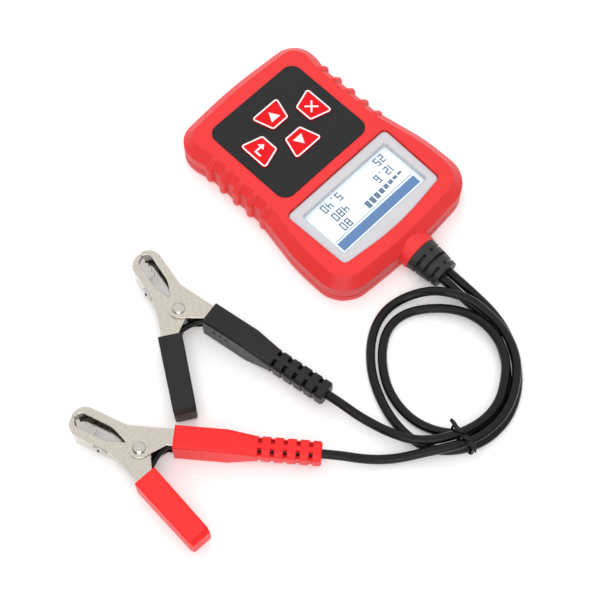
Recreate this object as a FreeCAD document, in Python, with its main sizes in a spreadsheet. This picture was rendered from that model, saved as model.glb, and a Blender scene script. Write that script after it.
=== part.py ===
# Handheld battery tester with a display, four keys and two leads that end in spring clips.
# The case stands on its back: +Z is up out of the face, +Y points to the cable end, +X is right
# when the display is read. The origin is under the middle of the case, on the table.
import FreeCAD, Part
import Sketcher
import math
import os

Vector = FreeCAD.Vector
Rotation = FreeCAD.Rotation
Placement = FreeCAD.Placement

doc = FreeCAD.newDocument("battery_tester")
sheet = doc.addObject("Spreadsheet::Sheet", "sizes")

# Driving dimensions in millimetres and degrees, grouped as the object is.
SIZES = {
    # case
    "case_height": 17.3,
    "case_half_width": 46.3,
    "waist_half_width": 40.8,
    "shoulder_half_width": 42.3,
    "key_end": 64.57,
    "cable_end": 61.0,
    "end_crown": 2.6,
    "case_wall": 2.0,
    "face_bevel": 5.0,
    "foot_bevel": 1.0,
    "parting_height": 5.7,
    "parting_groove": 0.7,
    "grip_recess": 1.0,
    "grip_rib_radius": 2.3,
    "grip_rib_rise": 1.4,
    "grip_rib_pitch": 9.35,
    "grip_rib_middle": -20.1,
    "collar_radius": 7.6,
    "collar_oval": 1.3,
    "collar_rim": 0.9,
    "collar_end": 64.6,
    "post_radius": 3.3,
    "screw_radius": 1.45,
    "screw_head_radius": 2.7,
    "screw_head_height": 2.0,
    "screw_recess": 1.0,
    "screw_length": 11.0,
    "screw_clearance": 0.1,
    "post_inset": 9.3,
    "key_post_inset": 12.5,
    "cable_post_inset": 15.5,
    # keypad
    "overlay_width": 59.0,
    "overlay_length": 54.4,
    "overlay_corner": 6.0,
    "overlay_thickness": 0.5,
    "overlay_recess": 0.4,
    "overlay_middle": -24.35,
    "key_long": 18.0,
    "key_short": 10.5,
    "key_depth": 12.1,
    "key_corner": 1.5,
    "key_rise": 0.6,
    "key_clearance": 0.35,
    "key_lip": 1.2,
    "key_lip_thickness": 1.0,
    "key_lip_gap": 0.4,
    "key_spread_x": 11.35,
    "key_spread_y": 3.75,
    "key_cross_shift": -1.4,
    "key_travel": 0.5,
    "plunger_radius": 1.6,
    "plunger_length": 3.0,
    "plunger_clearance": 0.2,
    "switch_side": 6.0,
    "switch_height": 3.5,
    # display
    "bezel_half_width": 34.2,
    "bezel_end_half_width": 33.0,
    "bezel_key_side": 8.1,
    "bezel_corner_side": 46.0,
    "bezel_crown": 3.8,
    "bezel_corner": 2.6,
    "bezel_drop": 1.2,
    "bezel_thickness": 1.2,
    "bezel_clearance": 0.15,
    "window_width": 56.6,
    "window_length": 27.2,
    "window_middle": 27.55,
    "window_corner": 0.8,
    "window_slope": 0.7,
    "window_overlap": 1.5,
    "window_thickness": 1.0,
    "ledge_thickness": 1.0,
    "ledge_setback": 0.7,
    "glass_width": 61.0,
    "glass_length": 34.0,
    "glass_thickness": 2.0,
    # board
    "board_gap": 0.6,
    "board_thickness": 1.6,
    "board_top": 8.5,
    "board_notch": 11.5,
    "board_notch_length": 12.0,
    "chip_side": 10.0,
    "chip_height": 1.4,
    "resistor_radius": 1.8,
    "resistor_length": 14.0,
    "resistor_pitch": 6.0,
    # leads
    "lead_diameter": 4.4,
    "lead_spread": 2.45,
    "lead_clearance": 0.05,
    "boot_radius": 7.2,
    "boot_end_radius": 5.85,
    "boot_length": 16.1,
    "boot_neck_radius": 5.4,
    "boot_flange_radius": 6.5,
    "boot_flange_thickness": 2.4,
    "boot_slot": 1.5,
    "boot_slot_depth": 2.2,
    "boot_slot_pitch": 4.4,
    "tie_thickness": 0.7,
    "tie_width": 1.8,
    # clips
    "clip_metal": 0.9,
    "clip_height": 12.2,
    "clip_nest_gap": 0.15,
    "jaw_reach": 34.7,
    "jaw_half_width": 7.2,
    "jaw_waist": 10.0,
    "jaw_tip_gap": 0.3,
    "jaw_mouth": 3.4,
    "jaw_mouth_start": 7.3,
    "jaw_rim": 1.7,
    "jaw_lobe_radius": 4.8,
    "handle_angle": 21.25,
    "handle_width": 7.85,
    "handle_length": 34.5,
    "boot_handle_length": 24.5,
    "handle_start": 12.3,
    "rivet_radius": 1.6,
    "rivet_head_radius": 3.1,
    "rivet_head_height": 1.4,
    "rivet_clearance": 0.06,
    "sleeve_width": 11.4,
    "sleeve_height": 15.4,
    "sleeve_corner": 1.3,
    "sleeve_fit": 0.1,
    "mark_place": 6.0,
    "mark_pitch": 3.4,
    "mark_width": 1.0,
    "mark_length": 5.0,
    "mark_rise": 0.3,
    "positive_grip_start": 11.8,
    "negative_grip_start": 12.8,
    "grip_length": 38.2,
    "grip_end_width": 10.7,
    "grip_end_height": 14.6,
    "grip_nose": 2.2,
    "grip_nose_drop": 5.0,
    "positive_boot_start": 14.8,
    "negative_boot_start": 13.1,
    "boot_body_length": 24.0,
    "boot_taper_length": 12.5,
    "relief_width": 10.1,
    "relief_corner": 2.6,
    "relief_length": 30.0,
    "relief_rows": 5,
    "relief_slot": 1.8,
    "relief_slot_depth": 3.9,
    "relief_slot_floor": 0.8,
    "relief_wall": 1.3,
    "relief_wall_height": 2.6,
    "relief_groove": 0.6,
    "relief_pitch": 5.75,
    "relief_round": 0.8,
    "relief_first": 1.2,
    "spring_wire": 1.0,
    "spring_radius": 4.7,
    "spring_pitch": 1.5,
    "spring_turns": 3,
    "spring_splay": 20.0,
    "contact_rivet_radius": 1.5,
    "contact_head_radius": 2.3,
    "contact_place": 16.8,
    "bush_radius": 3.6,
    "bush_flange": 0.6,
    "contact_length": 18.7,
    "contact_height": 8.0,
    "contact_metal": 0.8,
    "contact_teeth": 4,
    "contact_reach": 0.9,
    "tooth_depth": 1.2,
    "shelf_start": 4.8,
    "shelf_slant": 4.5,
    "sense_wire_diameter": 3.0,
    # where the clips lie on the table
    "negative_clip_x": 102.8,
    "negative_clip_y": 5.9,
    "negative_clip_angle": 258.6,
    "positive_clip_x": 161.85,
    "positive_clip_y": 43.05,
    "positive_clip_angle": 288.5,
}
for row, (alias, value) in enumerate(SIZES.items(), start=1):
    sheet.set("A%d" % row, alias)
    sheet.set("B%d" % row, str(value))
    sheet.setAlias("B%d" % row, alias)
doc.recompute()

nodes = []


def size(alias):
    """A driving dimension as the sheet holds it."""
    return float(sheet.get(alias))


def feature(label, shape, placement=None):
    """A sub-part whose shape is worked out here rather than by a stock feature."""
    item = doc.addObject("Part::Feature", label)
    item.Label = label
    item.Shape = shape
    if placement:
        item.Placement = placement.multiply(shape.Placement)
    nodes.append(item)
    return item


def bound(kind, label, **expressions):
    """A Part primitive whose sizes and place are expressions in the sheet's names."""
    item = doc.addObject(kind, label)
    item.Label = label
    for name, expression in expressions.items():
        item.setExpression(name.replace("_", "."), expression)
    return item


def rounded_wire(corners, closed=True):
    """Straight runs between corners (x, y, radius), each corner rounded by a tangent arc."""
    count = len(corners)
    starts = []
    ends = []
    arcs = []
    for index, (x, y, radius) in enumerate(corners):
        here = Vector(x, y, 0)
        if radius == 0 or (not closed and index in (0, count - 1)):
            starts.append(here)
            ends.append(here)
            arcs.append(None)
            continue
        before = (Vector(*corners[index - 1][:2], 0) - here).normalize()
        after = (Vector(*corners[(index + 1) % count][:2], 0) - here).normalize()
        half = before.getAngle(after) / 2
        reach = radius / math.tan(half)
        middle = here + (before + after).normalize() * (radius / math.sin(half) - radius)
        starts.append(here + before * reach)
        ends.append(here + after * reach)
        arcs.append(middle)
    edges = []
    for index in range(count):
        if arcs[index]:
            edges.append(Part.Arc(starts[index], arcs[index], ends[index]).toShape())
        if index == count - 1 and not closed:
            break
        following = (index + 1) % count
        if ends[index].distanceToPoint(starts[following]) > 1e-6:
            edges.append(Part.LineSegment(ends[index], starts[following]).toShape())
    return Part.Wire(edges)


def prism(corners, low, high):
    """An upright block over a rounded outline."""
    face = Part.Face(rounded_wire(corners))
    face.translate(Vector(0, 0, low))
    return face.extrude(Vector(0, 0, high - low))


def rectangle(width, length, radius, middle_x=0.0, middle_y=0.0):
    """Corners of a rounded rectangle for prism()."""
    right = width / 2
    far = length / 2
    signs = [(-1, -1), (1, -1), (1, 1), (-1, 1)]
    return [(middle_x + sx * right, middle_y + sy * far, radius) for sx, sy in signs]


def mirrored_outline(half):
    """A closed outline from its +X half, listed from the -Y end to the +Y end."""
    left = [(-x, y, radius) for x, y, radius in reversed(half) if x > 0]
    return half + left


def soft_outline(half):
    """mirrored_outline() for points (x, y, share): a corner takes that share of its shorter run."""
    outline = mirrored_outline(half)
    count = len(outline)
    corners = []
    for index, (x, y, share) in enumerate(outline):
        here = Vector(x, y, 0)
        before = Vector(*outline[index - 1][:2], 0) - here
        after = Vector(*outline[(index + 1) % count][:2], 0) - here
        reach = share * min(before.Length, after.Length)
        corners.append((x, y, reach * math.tan(before.getAngle(after) / 2)))
    return corners


def block(low, high):
    """A box between two corners."""
    extent = Vector(*high) - Vector(*low)
    return Part.makeBox(extent.x, extent.y, extent.z, Vector(*low))


def rod(start, end, radius):
    """A round bar between two points."""
    run = Vector(*end) - Vector(*start)
    return Part.makeCylinder(radius, run.Length, Vector(*start), run)


def edges_at(shape, height):
    """The edges of a shape that lie flat at one height."""
    found = []
    for edge in shape.Edges:
        box = edge.BoundBox
        if abs(box.ZMin - height) < 1e-6 and abs(box.ZMax - height) < 1e-6:
            found.append(edge)
    return found


def tube_along(points, radius, name):
    """A tube on straight runs joined by the largest tangent arcs that the runs allow."""
    places = [Vector(*point) for point in points]
    cuts = [(places[0], places[0])]
    middles = [None]
    radii = []
    for before, here, after in zip(places, places[1:], places[2:]):
        back = before - here
        ahead = after - here
        reach = 0.45 * min(back.Length, ahead.Length)
        back.normalize()
        ahead.normalize()
        half = back.getAngle(ahead) / 2
        bend = reach * math.tan(half)
        radii.append(bend)
        cuts.append((here + back * reach, here + ahead * reach))
        middles.append(here + (back + ahead).normalize() * (bend / math.sin(half) - bend))
    cuts.append((places[-1], places[-1]))
    middles.append(None)
    edges = []
    for index in range(len(cuts)):
        if middles[index]:
            edges.append(Part.Arc(cuts[index][0], middles[index], cuts[index][1]).toShape())
        if index + 1 < len(cuts):
            edges.append(Part.LineSegment(cuts[index][1], cuts[index + 1][0]).toShape())
    path = Part.Wire(edges)
    direction = places[1] - places[0]
    ring = Part.Wire([Part.makeCircle(radius, places[0], direction)])
    tube = path.makePipeShell([ring], True, False)
    ideal = math.pi * radius ** 2 * path.Length
    print("%s: length %.1f, tightest bend %.1f, volume share %.4f"
          % (name, path.Length, min(radii), tube.Volume / ideal))
    return tube, path


# Heights inside the case, from the table up
case_top = size("case_height")
face_inside = case_top - size("case_wall")
bezel_top = case_top - size("bezel_drop")
bezel_seat = bezel_top - size("bezel_thickness")
window_seat = bezel_seat - size("window_thickness")
glass_top = window_seat - size("ledge_thickness")
glass_base = glass_top - size("glass_thickness")
board_top = size("board_top")
board_base = board_top - size("board_thickness")
overlay_seat = case_top - size("overlay_recess")
overlay_top = overlay_seat + size("overlay_thickness")
collar_axis = size("collar_radius") + 0.05

# The case outline: rounded ends, a waist for the fingers and a wider display end
waist_start = size("grip_rib_middle") - 2.2 * size("grip_rib_pitch")
waist_end = size("grip_rib_middle") + 1.9 * size("grip_rib_pitch")
flare_end = waist_end + 3.0 * size("grip_rib_pitch")
case_outline = soft_outline([
    (0, -size("key_end"), 0.36),
    (size("shoulder_half_width"), -size("key_end") + size("end_crown"), 0.76),
    (size("shoulder_half_width"), waist_start - 6, 0.4),
    (size("waist_half_width"), waist_start, 0.4),
    (size("waist_half_width"), waist_end, 0.1),
    (size("case_half_width") - 0.3, flare_end, 0.28),
    (size("case_half_width"), size("cable_end") - 1.3 * size("end_crown"), 0.49),
    (0, size("cable_end"), 0.39),
])
wide = 2 * size("case_half_width")
long = 2 * size("key_end")

post_places = []
for side in (-1, 1):
    key_post_x = side * (size("shoulder_half_width") - size("post_inset"))
    cable_post_x = side * (size("case_half_width") - size("post_inset"))
    post_places.append((key_post_x, size("key_post_inset") - size("key_end")))
    post_places.append((cable_post_x, size("cable_end") - size("cable_post_inset")))


def oval(shape):
    """A round form of the cable collar, drawn out sideways to its oval."""
    stretch = FreeCAD.Matrix()
    stretch.scale(size("collar_oval"), 1, 1)
    return shape.transformGeometry(stretch)


def case_body():
    """The whole closed case: bevelled block, grip ribs and cable collar."""
    body = prism(case_outline, 0, case_top)
    body = body.makeChamfer(size("face_bevel"), edges_at(body, case_top))
    body = body.makeChamfer(size("foot_bevel"), edges_at(body, 0))
    panel_x = size("waist_half_width") - size("grip_recess")
    panel_start = size("grip_rib_middle") - 2 * size("grip_rib_pitch")
    panel_end = size("grip_rib_middle") + 2 * size("grip_rib_pitch")
    panel = block((panel_x, panel_start, -1), (wide, panel_end, case_top + 1))
    body = body.cut([panel, panel.mirror(Vector(0, 0, 0), Vector(1, 0, 0))])
    radius = size("grip_rib_radius")
    inset = radius - size("grip_rib_rise")
    wall_x = size("waist_half_width") - inset
    bend_z = case_top - size("face_bevel") - 0.41 * inset
    slope = size("face_bevel") - 0.6 * radius
    ribs = []
    for side in (-1, 1):
        for step in range(-2, 3):
            y = size("grip_rib_middle") + step * size("grip_rib_pitch")
            foot = (side * wall_x, y, radius + 0.4)
            knee = (side * wall_x, y, bend_z)
            tip = (side * (wall_x - slope), y, bend_z + slope)
            ribs.append(rod(foot, knee, radius))
            ribs.append(rod(knee, tip, radius))
            for point in (foot, knee, tip):
                ribs.append(Part.makeSphere(radius, Vector(*point)))
    collar_start = size("cable_end") - size("face_bevel")
    collar = rod((0, collar_start, collar_axis), (0, size("collar_end"), collar_axis),
                 size("collar_radius"))
    rim = [edge for edge in collar.Edges if edge.BoundBox.YMin > size("collar_end") - 0.01]
    collar = collar.makeFillet(size("collar_rim"), rim)
    return body.multiFuse(ribs + [oval(collar)]).removeSplitter()


def case_cavity():
    """The hollow of the case, a wall thickness inside it all round."""
    wall = size("case_wall")
    face = Part.Face(rounded_wire(case_outline)).makeOffset2D(-wall)
    face.translate(Vector(0, 0, wall))
    hollow = face.extrude(Vector(0, 0, face_inside - wall))
    inner_bevel = size("face_bevel") - wall * (2 - math.sqrt(2))
    return hollow.makeChamfer(inner_bevel, edges_at(hollow, face_inside))


def key_outline(grow, turn):
    """Corners of one key, grown by a clearance, in its place on the keypad."""
    near = -grow
    far = size("key_depth") + grow
    short = size("key_short") / 2 + grow
    wide = size("key_long") / 2 + grow
    spread = size("key_spread_y") if turn in (0, 180) else size("key_spread_x")
    radius = size("key_corner") + grow
    plain = [(-short, near), (short, near), (wide, far), (-wide, far)]
    angle = Rotation(Vector(0, 0, 1), turn)
    middle = Vector(0, size("overlay_middle") + size("key_cross_shift"), 0)
    corners = []
    for x, y in plain:
        point = angle.multVec(Vector(x, y + spread, 0)) + middle
        corners.append((point.x, point.y, radius))
    return corners


KEYS = {"up": 0, "esc": 90, "down": 180, "enter": 270}


def bezel_outline(grow):
    """The display frame: straight sides that draw in a little and a bowed cable side."""
    outer = size("bezel_half_width") + grow
    inner = size("bezel_end_half_width") + grow
    corner_y = size("bezel_corner_side") + grow
    corner = size("bezel_corner") / size("bezel_end_half_width")
    return soft_outline([
        (outer, size("bezel_key_side") - grow, corner),
        (inner, corner_y, corner),
        (0, corner_y + size("bezel_crown"), 0.48),
    ])


def post(x, y, low, high):
    """A round screw post."""
    return rod((x, y, low), (x, y, high), size("post_radius"))


body = case_body()
cavity = case_cavity()
flange_end = size("cable_end") - size("case_wall") - 0.1
flange_start = flange_end - size("boot_flange_thickness")
neck_hole = rod((0, flange_start, collar_axis), (0, size("collar_end") + 1, collar_axis),
                size("boot_neck_radius") + size("lead_clearance"))
flange_pocket = rod((0, flange_start - 2, collar_axis), (0, flange_end + 0.1, collar_axis),
                    size("boot_flange_radius") + size("lead_clearance"))

# Front shell: face with keypad recess, display recess and window, on four screw posts
upper = block((-wide, -long, size("parting_height")), (wide, long, 2 * case_top))
front = body.common(upper).cut(cavity)
pad = prism(bezel_outline(1.6), glass_top, face_inside)
front = front.fuse(pad)
for x, y in post_places:
    front = front.fuse(post(x, y, board_top, face_inside))
cuts = [
    prism(rectangle(size("overlay_width"), size("overlay_length"), size("overlay_corner"), 0,
                    size("overlay_middle")), overlay_seat, 2 * case_top),
    prism(bezel_outline(size("bezel_clearance")), bezel_seat, 2 * case_top),
    prism(rectangle(size("window_width") + 2 * size("window_overlap"),
                    size("window_length") + 2 * size("window_overlap"),
                    size("bezel_clearance"), 0, size("window_middle")), window_seat, bezel_seat + 1),
    prism(rectangle(size("window_width") + 2 * size("ledge_setback"),
                    size("window_length") + 2 * size("ledge_setback"), size("window_corner"), 0,
                    size("window_middle")), glass_top - 1, window_seat + 1),
    neck_hole,
    flange_pocket,
]
for turn in KEYS.values():
    cuts.append(prism(key_outline(size("key_clearance"), turn), face_inside - 1, 2 * case_top))
screw_seat = size("screw_recess") + size("screw_head_height")
screw_tip = screw_seat + size("screw_length")
for x, y in post_places:
    cuts.append(rod((x, y, board_top - 1), (x, y, screw_tip + 0.5), size("screw_radius")))
feature("front_shell", front.cut(cuts).removeSplitter())

# Rear shell: tray with four posts, each counterbored for its screw
lower = block((-wide, -long, -1), (wide, long, size("parting_height")))
rear = body.common(lower).cut(cavity)
for x, y in post_places:
    rear = rear.fuse(post(x, y, size("case_wall"), board_base))
rear_cuts = [neck_hole, flange_pocket]
for x, y in post_places:
    rear_cuts.append(rod((x, y, -1), (x, y, screw_seat),
                         size("screw_head_radius") + size("screw_clearance")))
    rear_cuts.append(rod((x, y, 0), (x, y, board_base + 1),
                         size("screw_radius") + size("screw_clearance")))
groove = size("parting_groove")
rim = Part.Face(rounded_wire(case_outline))
rim.translate(Vector(0, 0, size("parting_height") - groove))
land = rim.makeOffset2D(-groove)
rear_cuts.append(rim.cut(land).extrude(Vector(0, 0, 2 * groove)))
feature("rear_shell", rear.cut(rear_cuts).removeSplitter())

# Case screws, driven from the back through the board into the front posts
screws = []
for x, y in post_places:
    head = rod((x, y, size("screw_recess")), (x, y, screw_seat), size("screw_head_radius"))
    shank = rod((x, y, screw_seat), (x, y, screw_tip), size("screw_radius"))
    slot = block((x - 2, y - 0.35, 0), (x + 2, y + 0.35, size("screw_recess") + 0.8))
    screws.append(head.fuse(shank).cut(slot).removeSplitter())
feature("case_screws", Part.makeCompound(screws))

# Keypad overlay: a thin sheet let into the face, cut out round the keys
overlay = prism(rectangle(size("overlay_width") - 0.2, size("overlay_length") - 0.2,
                          size("overlay_corner") - 0.1, 0, size("overlay_middle")),
                overlay_seat, overlay_top)
overlay_holes = [
    prism(key_outline(size("key_clearance"), turn), overlay_seat - 1, overlay_top + 1)
    for turn in KEYS.values()
]
feature("keypad_overlay", overlay.cut(overlay_holes))


def trapezoid(body_item, name, plane, short, wide, near, depth, height):
    """A trapezoid sketch, even about its Y axis, with every size an expression."""
    sketch = body_item.newObject("Sketcher::SketchObject", name)
    sketch.AttachmentSupport = (plane, [""])
    sketch.MapMode = "FlatFace"
    sketch.setExpression("AttachmentOffset.Base.z", height)
    rough = [Vector(-4, 4, 0), Vector(4, 4, 0), Vector(8, 15, 0), Vector(-8, 15, 0)]
    for index in range(4):
        sketch.addGeometry(Part.LineSegment(rough[index], rough[(index + 1) % 4]), False)
    for index in range(4):
        sketch.addConstraint(Sketcher.Constraint("Coincident", index, 2, (index + 1) % 4, 1))
    sketch.addConstraint(Sketcher.Constraint("Symmetric", 0, 1, 0, 2, -2))
    sketch.addConstraint(Sketcher.Constraint("Symmetric", 2, 1, 2, 2, -2))
    sizes = [
        (Sketcher.Constraint("DistanceX", 0, 1, 0, 2, 8.0), short),
        (Sketcher.Constraint("DistanceX", 2, 2, 2, 1, 16.0), wide),
        (Sketcher.Constraint("DistanceY", -1, 1, 0, 1, 4.0), near),
        (Sketcher.Constraint("DistanceY", 0, 2, 1, 2, 11.0), depth),
    ]
    for constraint, expression in sizes:
        number = sketch.addConstraint(constraint)
        sketch.setExpression("Constraints[%d]" % number, expression)
    return sketch


# Keys: a cap that stands out of the overlay, a lip that keeps it in and a stem on the switch
cap_base = "(sizes.case_height - sizes.case_wall - sizes.key_lip_gap - sizes.key_lip_thickness)"
cap_top = "(sizes.case_height - sizes.overlay_recess + sizes.overlay_thickness + sizes.key_rise)"
plunger_top = "(sizes.board_top + sizes.switch_height + sizes.plunger_length / 2)"
for name, turn in KEYS.items():
    spread = "sizes.key_spread_y" if turn in (0, 180) else "sizes.key_spread_x"
    key = doc.addObject("PartDesign::Body", "key_" + name)
    key.Label = "key_" + name
    plane = [item for item in key.Origin.OriginFeatures if item.Role == "XY_Plane"][0]
    cap_sketch = trapezoid(key, "cap_" + name, plane, "sizes.key_short", "sizes.key_long",
                           spread, "sizes.key_depth", cap_base)
    cap = key.newObject("PartDesign::Pad", "cap_pad_" + name)
    cap.Profile = cap_sketch
    cap.setExpression("Length", cap_top + " - " + cap_base)
    doc.recompute()
    upright = [
        "Edge%d" % (index + 1) for index, edge in enumerate(cap.Shape.Edges)
        if edge.BoundBox.ZLength > 1
    ]
    rounding = key.newObject("PartDesign::Fillet", "corners_" + name)
    rounding.Base = (cap, upright)
    rounding.setExpression("Radius", "sizes.key_corner")
    lip_sketch = trapezoid(key, "lip_" + name, plane, "sizes.key_short + 2 * sizes.key_lip",
                           "sizes.key_long + 2 * sizes.key_lip", spread + " - sizes.key_lip",
                           "sizes.key_depth + 2 * sizes.key_lip", cap_base)
    lip = key.newObject("PartDesign::Pad", "lip_pad_" + name)
    lip.Profile = lip_sketch
    lip.setExpression("Length", "sizes.key_lip_thickness")
    stem_sketch = trapezoid(key, "stem_" + name, plane, "sizes.switch_side / 2",
                            "sizes.switch_side / 2 + 0.01",
                            spread + " + sizes.key_depth / 2 - sizes.switch_side / 4",
                            "sizes.switch_side / 2", cap_base)
    stem = key.newObject("PartDesign::Pad", "stem_pad_" + name)
    stem.Profile = stem_sketch
    stem.Reversed = True
    stem.setExpression("Length", cap_base + " - " + plunger_top)
    key.setExpression("Placement.Base.y", "sizes.overlay_middle + sizes.key_cross_shift")
    key.Placement.Rotation = Rotation(Vector(0, 0, 1), turn)
    nodes.append(key)

# Tact switches under the keys, each with its own plunger
switches = []
for name, turn in KEYS.items():
    spread = size("key_spread_y") if turn in (0, 180) else size("key_spread_x")
    middle = Rotation(Vector(0, 0, 1), turn).multVec(Vector(0, spread + size("key_depth") / 2, 0))
    x = middle.x
    y = middle.y + size("overlay_middle") + size("key_cross_shift")
    half_side = size("switch_side") / 2
    switch_top = board_top + size("switch_height")
    housing = block((x - half_side, y - half_side, board_top),
                    (x + half_side, y + half_side, switch_top))
    well = switch_top - size("plunger_length") / 2 - size("key_travel") - size("plunger_clearance")
    bore = size("plunger_radius") + size("plunger_clearance")
    switches.append(housing.cut(rod((x, y, well), (x, y, switch_top + 1), bore)))
    reach = "(sizes.key_spread_%s + sizes.key_depth / 2)" % ("y" if turn in (0, 180) else "x")
    across = round(Rotation(Vector(0, 0, 1), turn).multVec(Vector(0, 1, 0)).x)
    ahead = round(Rotation(Vector(0, 0, 1), turn).multVec(Vector(0, 1, 0)).y)
    plunger = bound("Part::Cylinder", "plunger_" + name, Radius="sizes.plunger_radius",
                    Height="sizes.plunger_length", Placement_Base_x="%d * %s" % (across, reach),
                    Placement_Base_y="sizes.overlay_middle + sizes.key_cross_shift + %d * %s"
                                     % (ahead, reach),
                    Placement_Base_z=plunger_top + " - sizes.plunger_length")
    nodes.append(plunger)
feature("tact_switches", Part.makeCompound(switches))

# Display: frame, clear window, glass and backlight, stacked under the face
frame_block = prism(bezel_outline(0), bezel_seat, bezel_top)
frame_block = frame_block.makeChamfer(0.5, edges_at(frame_block, bezel_top))
opening_low = Part.Face(rounded_wire(rectangle(size("window_width"), size("window_length"),
                                               size("window_corner"), 0, size("window_middle"))))
grow = 2 * size("window_slope")
opening_high = Part.Face(rounded_wire(rectangle(size("window_width") + grow,
                                                size("window_length") + grow,
                                                size("window_corner") + size("window_slope"), 0,
                                                size("window_middle"))))
opening_low.translate(Vector(0, 0, bezel_seat))
opening_high.translate(Vector(0, 0, bezel_top))
opening = Part.makeLoft([opening_low.OuterWire, opening_high.OuterWire], True, True)
feature("lcd_bezel", frame_block.cut(opening))
window_fit = "2 * (sizes.window_overlap - sizes.bezel_clearance)"
seat_text = ("(sizes.case_height - sizes.bezel_drop - sizes.bezel_thickness"
             " - sizes.window_thickness)")
glass_text = "(%s - sizes.ledge_thickness - sizes.glass_thickness)" % seat_text
window = bound("Part::Box", "lcd_window", Length="sizes.window_width + " + window_fit,
               Width="sizes.window_length + " + window_fit, Height="sizes.window_thickness",
               Placement_Base_x="-(sizes.window_width + %s) / 2" % window_fit,
               Placement_Base_y="sizes.window_middle - (sizes.window_length + %s) / 2" % window_fit,
               Placement_Base_z=seat_text)
nodes.append(window)
glass = bound("Part::Box", "lcd_glass", Length="sizes.glass_width", Width="sizes.glass_length",
              Height="sizes.glass_thickness", Placement_Base_x="-sizes.glass_width / 2",
              Placement_Base_y="sizes.window_middle - sizes.glass_length / 2",
              Placement_Base_z=glass_text)
nodes.append(glass)
backlight = bound("Part::Box", "lcd_backlight", Length="sizes.glass_width",
                  Width="sizes.glass_length", Height=glass_text + " - sizes.board_top",
                  Placement_Base_x="-sizes.glass_width / 2",
                  Placement_Base_y="sizes.window_middle - sizes.glass_length / 2",
                  Placement_Base_z="sizes.board_top")
nodes.append(backlight)

# Main board, cut to the case and clamped by the four screws
board_face = Part.Face(rounded_wire(case_outline))
board_face = board_face.makeOffset2D(-size("case_wall") - size("board_gap"))
board_face.translate(Vector(0, 0, board_base))
board = board_face.extrude(Vector(0, 0, size("board_thickness")))
notch_start = size("cable_end") - size("board_notch_length")
board_cuts = [block((-size("board_notch"), notch_start, 0),
                    (size("board_notch"), 2 * size("cable_end"), case_top))]
for x, y in post_places:
    board_cuts.append(rod((x, y, 0), (x, y, case_top),
                          size("screw_radius") + size("screw_clearance")))
feature("main_board", board.cut(board_cuts))
chip = bound("Part::Box", "microcontroller", Length="sizes.chip_side", Width="sizes.chip_side",
             Height="sizes.chip_height", Placement_Base_x="-sizes.chip_side / 2",
             Placement_Base_z="sizes.board_top - sizes.board_thickness - sizes.chip_height")
nodes.append(chip)
resistors = []
for step in range(3):
    y = 16 + step * size("resistor_pitch")
    z = board_base - size("resistor_radius")
    resistors.append(rod((14, y, z), (14 + size("resistor_length"), y, z), size("resistor_radius")))
feature("load_resistors", Part.makeCompound(resistors))

# Cable boot: flange inside the wall, neck through the collar, tapered outside with ring slots
boot_start = size("collar_end")
boot_end = boot_start + size("boot_length")
flange = rod((0, flange_start, collar_axis), (0, flange_end, collar_axis), size("boot_flange_radius"))
neck = rod((0, flange_start, collar_axis), (0, boot_start + 1, collar_axis), size("boot_neck_radius"))
cone = Part.makeCone(size("boot_radius"), size("boot_end_radius"), size("boot_length"),
                     Vector(0, boot_start, collar_axis), Vector(0, 1, 0))
boot = oval(cone).multiFuse([flange, neck]).removeSplitter()
boot_cuts = []
for ring in range(3):
    y = boot_start + (ring + 0.8) * size("boot_slot_pitch")
    far_y = y + size("boot_slot")
    share = (y - boot_start) / size("boot_length")
    outer = size("boot_radius") + share * (size("boot_end_radius") - size("boot_radius"))
    inner = outer - size("boot_slot_depth")
    band = rod((0, y, collar_axis), (0, far_y, collar_axis), outer + 2)
    band = oval(band.cut(rod((0, y, collar_axis), (0, far_y, collar_axis), inner)))
    web = 1.6
    if ring % 2:
        band = band.cut(block((-wide, y, collar_axis - web), (wide, far_y, collar_axis + web)))
    else:
        band = band.cut(block((-web, y, -wide), (web, far_y, wide)))
    boot_cuts.append(band)
lead_radius = size("lead_diameter") / 2
for side in (-1, 1):
    x = side * size("lead_spread")
    boot_cuts.append(rod((x, flange_start - 1, collar_axis), (x, boot_end + 1, collar_axis),
                         lead_radius + size("lead_clearance")))
feature("cable_boot", boot.cut(boot_cuts))
tails = []
for side in (-1, 1):
    x = side * size("lead_spread")
    tails.append(rod((x, notch_start + 1, collar_axis), (x, boot_end, collar_axis), lead_radius))
feature("lead_tails", Part.makeCompound(tails))

# Clips. In a clip's own frame the pivot is the origin, +X points to the jaw tip and the moving
# half lies at +Y; the other half is its mirror image.
clip_rest = size("sleeve_height") / 2
beta = math.radians(size("handle_angle"))
handle_back = Vector(-math.cos(beta), math.sin(beta), 0)
handle_out = Vector(math.sin(beta), math.cos(beta), 0)
handle_outer = math.sin(beta) * size("jaw_waist") + math.cos(beta) * size("jaw_half_width")
handle_inner = handle_outer - size("handle_width")
handle_axis = (handle_outer + handle_inner) / 2
handle_end = size("handle_start") + size("handle_length")
boot_handle_end = size("handle_start") + size("boot_handle_length")


def on_handle(along, out):
    """A point of the moving handle: distance back from the pivot and out from the clip's axis."""
    return handle_back * along + handle_out * out


def offset_run(points, distance):
    """An open run of straight lines moved sideways to its right by a distance."""
    moved = []
    normals = []
    for first, second in zip(points, points[1:]):
        way = (second - first).normalize()
        normals.append(Vector(way.y, -way.x, 0))
    for index, point in enumerate(points):
        before = normals[max(index - 1, 0)]
        after = normals[min(index, len(normals) - 1)]
        middle = (before + after).normalize()
        moved.append(point + middle * (distance / middle.dot(after)))
    return moved


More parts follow.
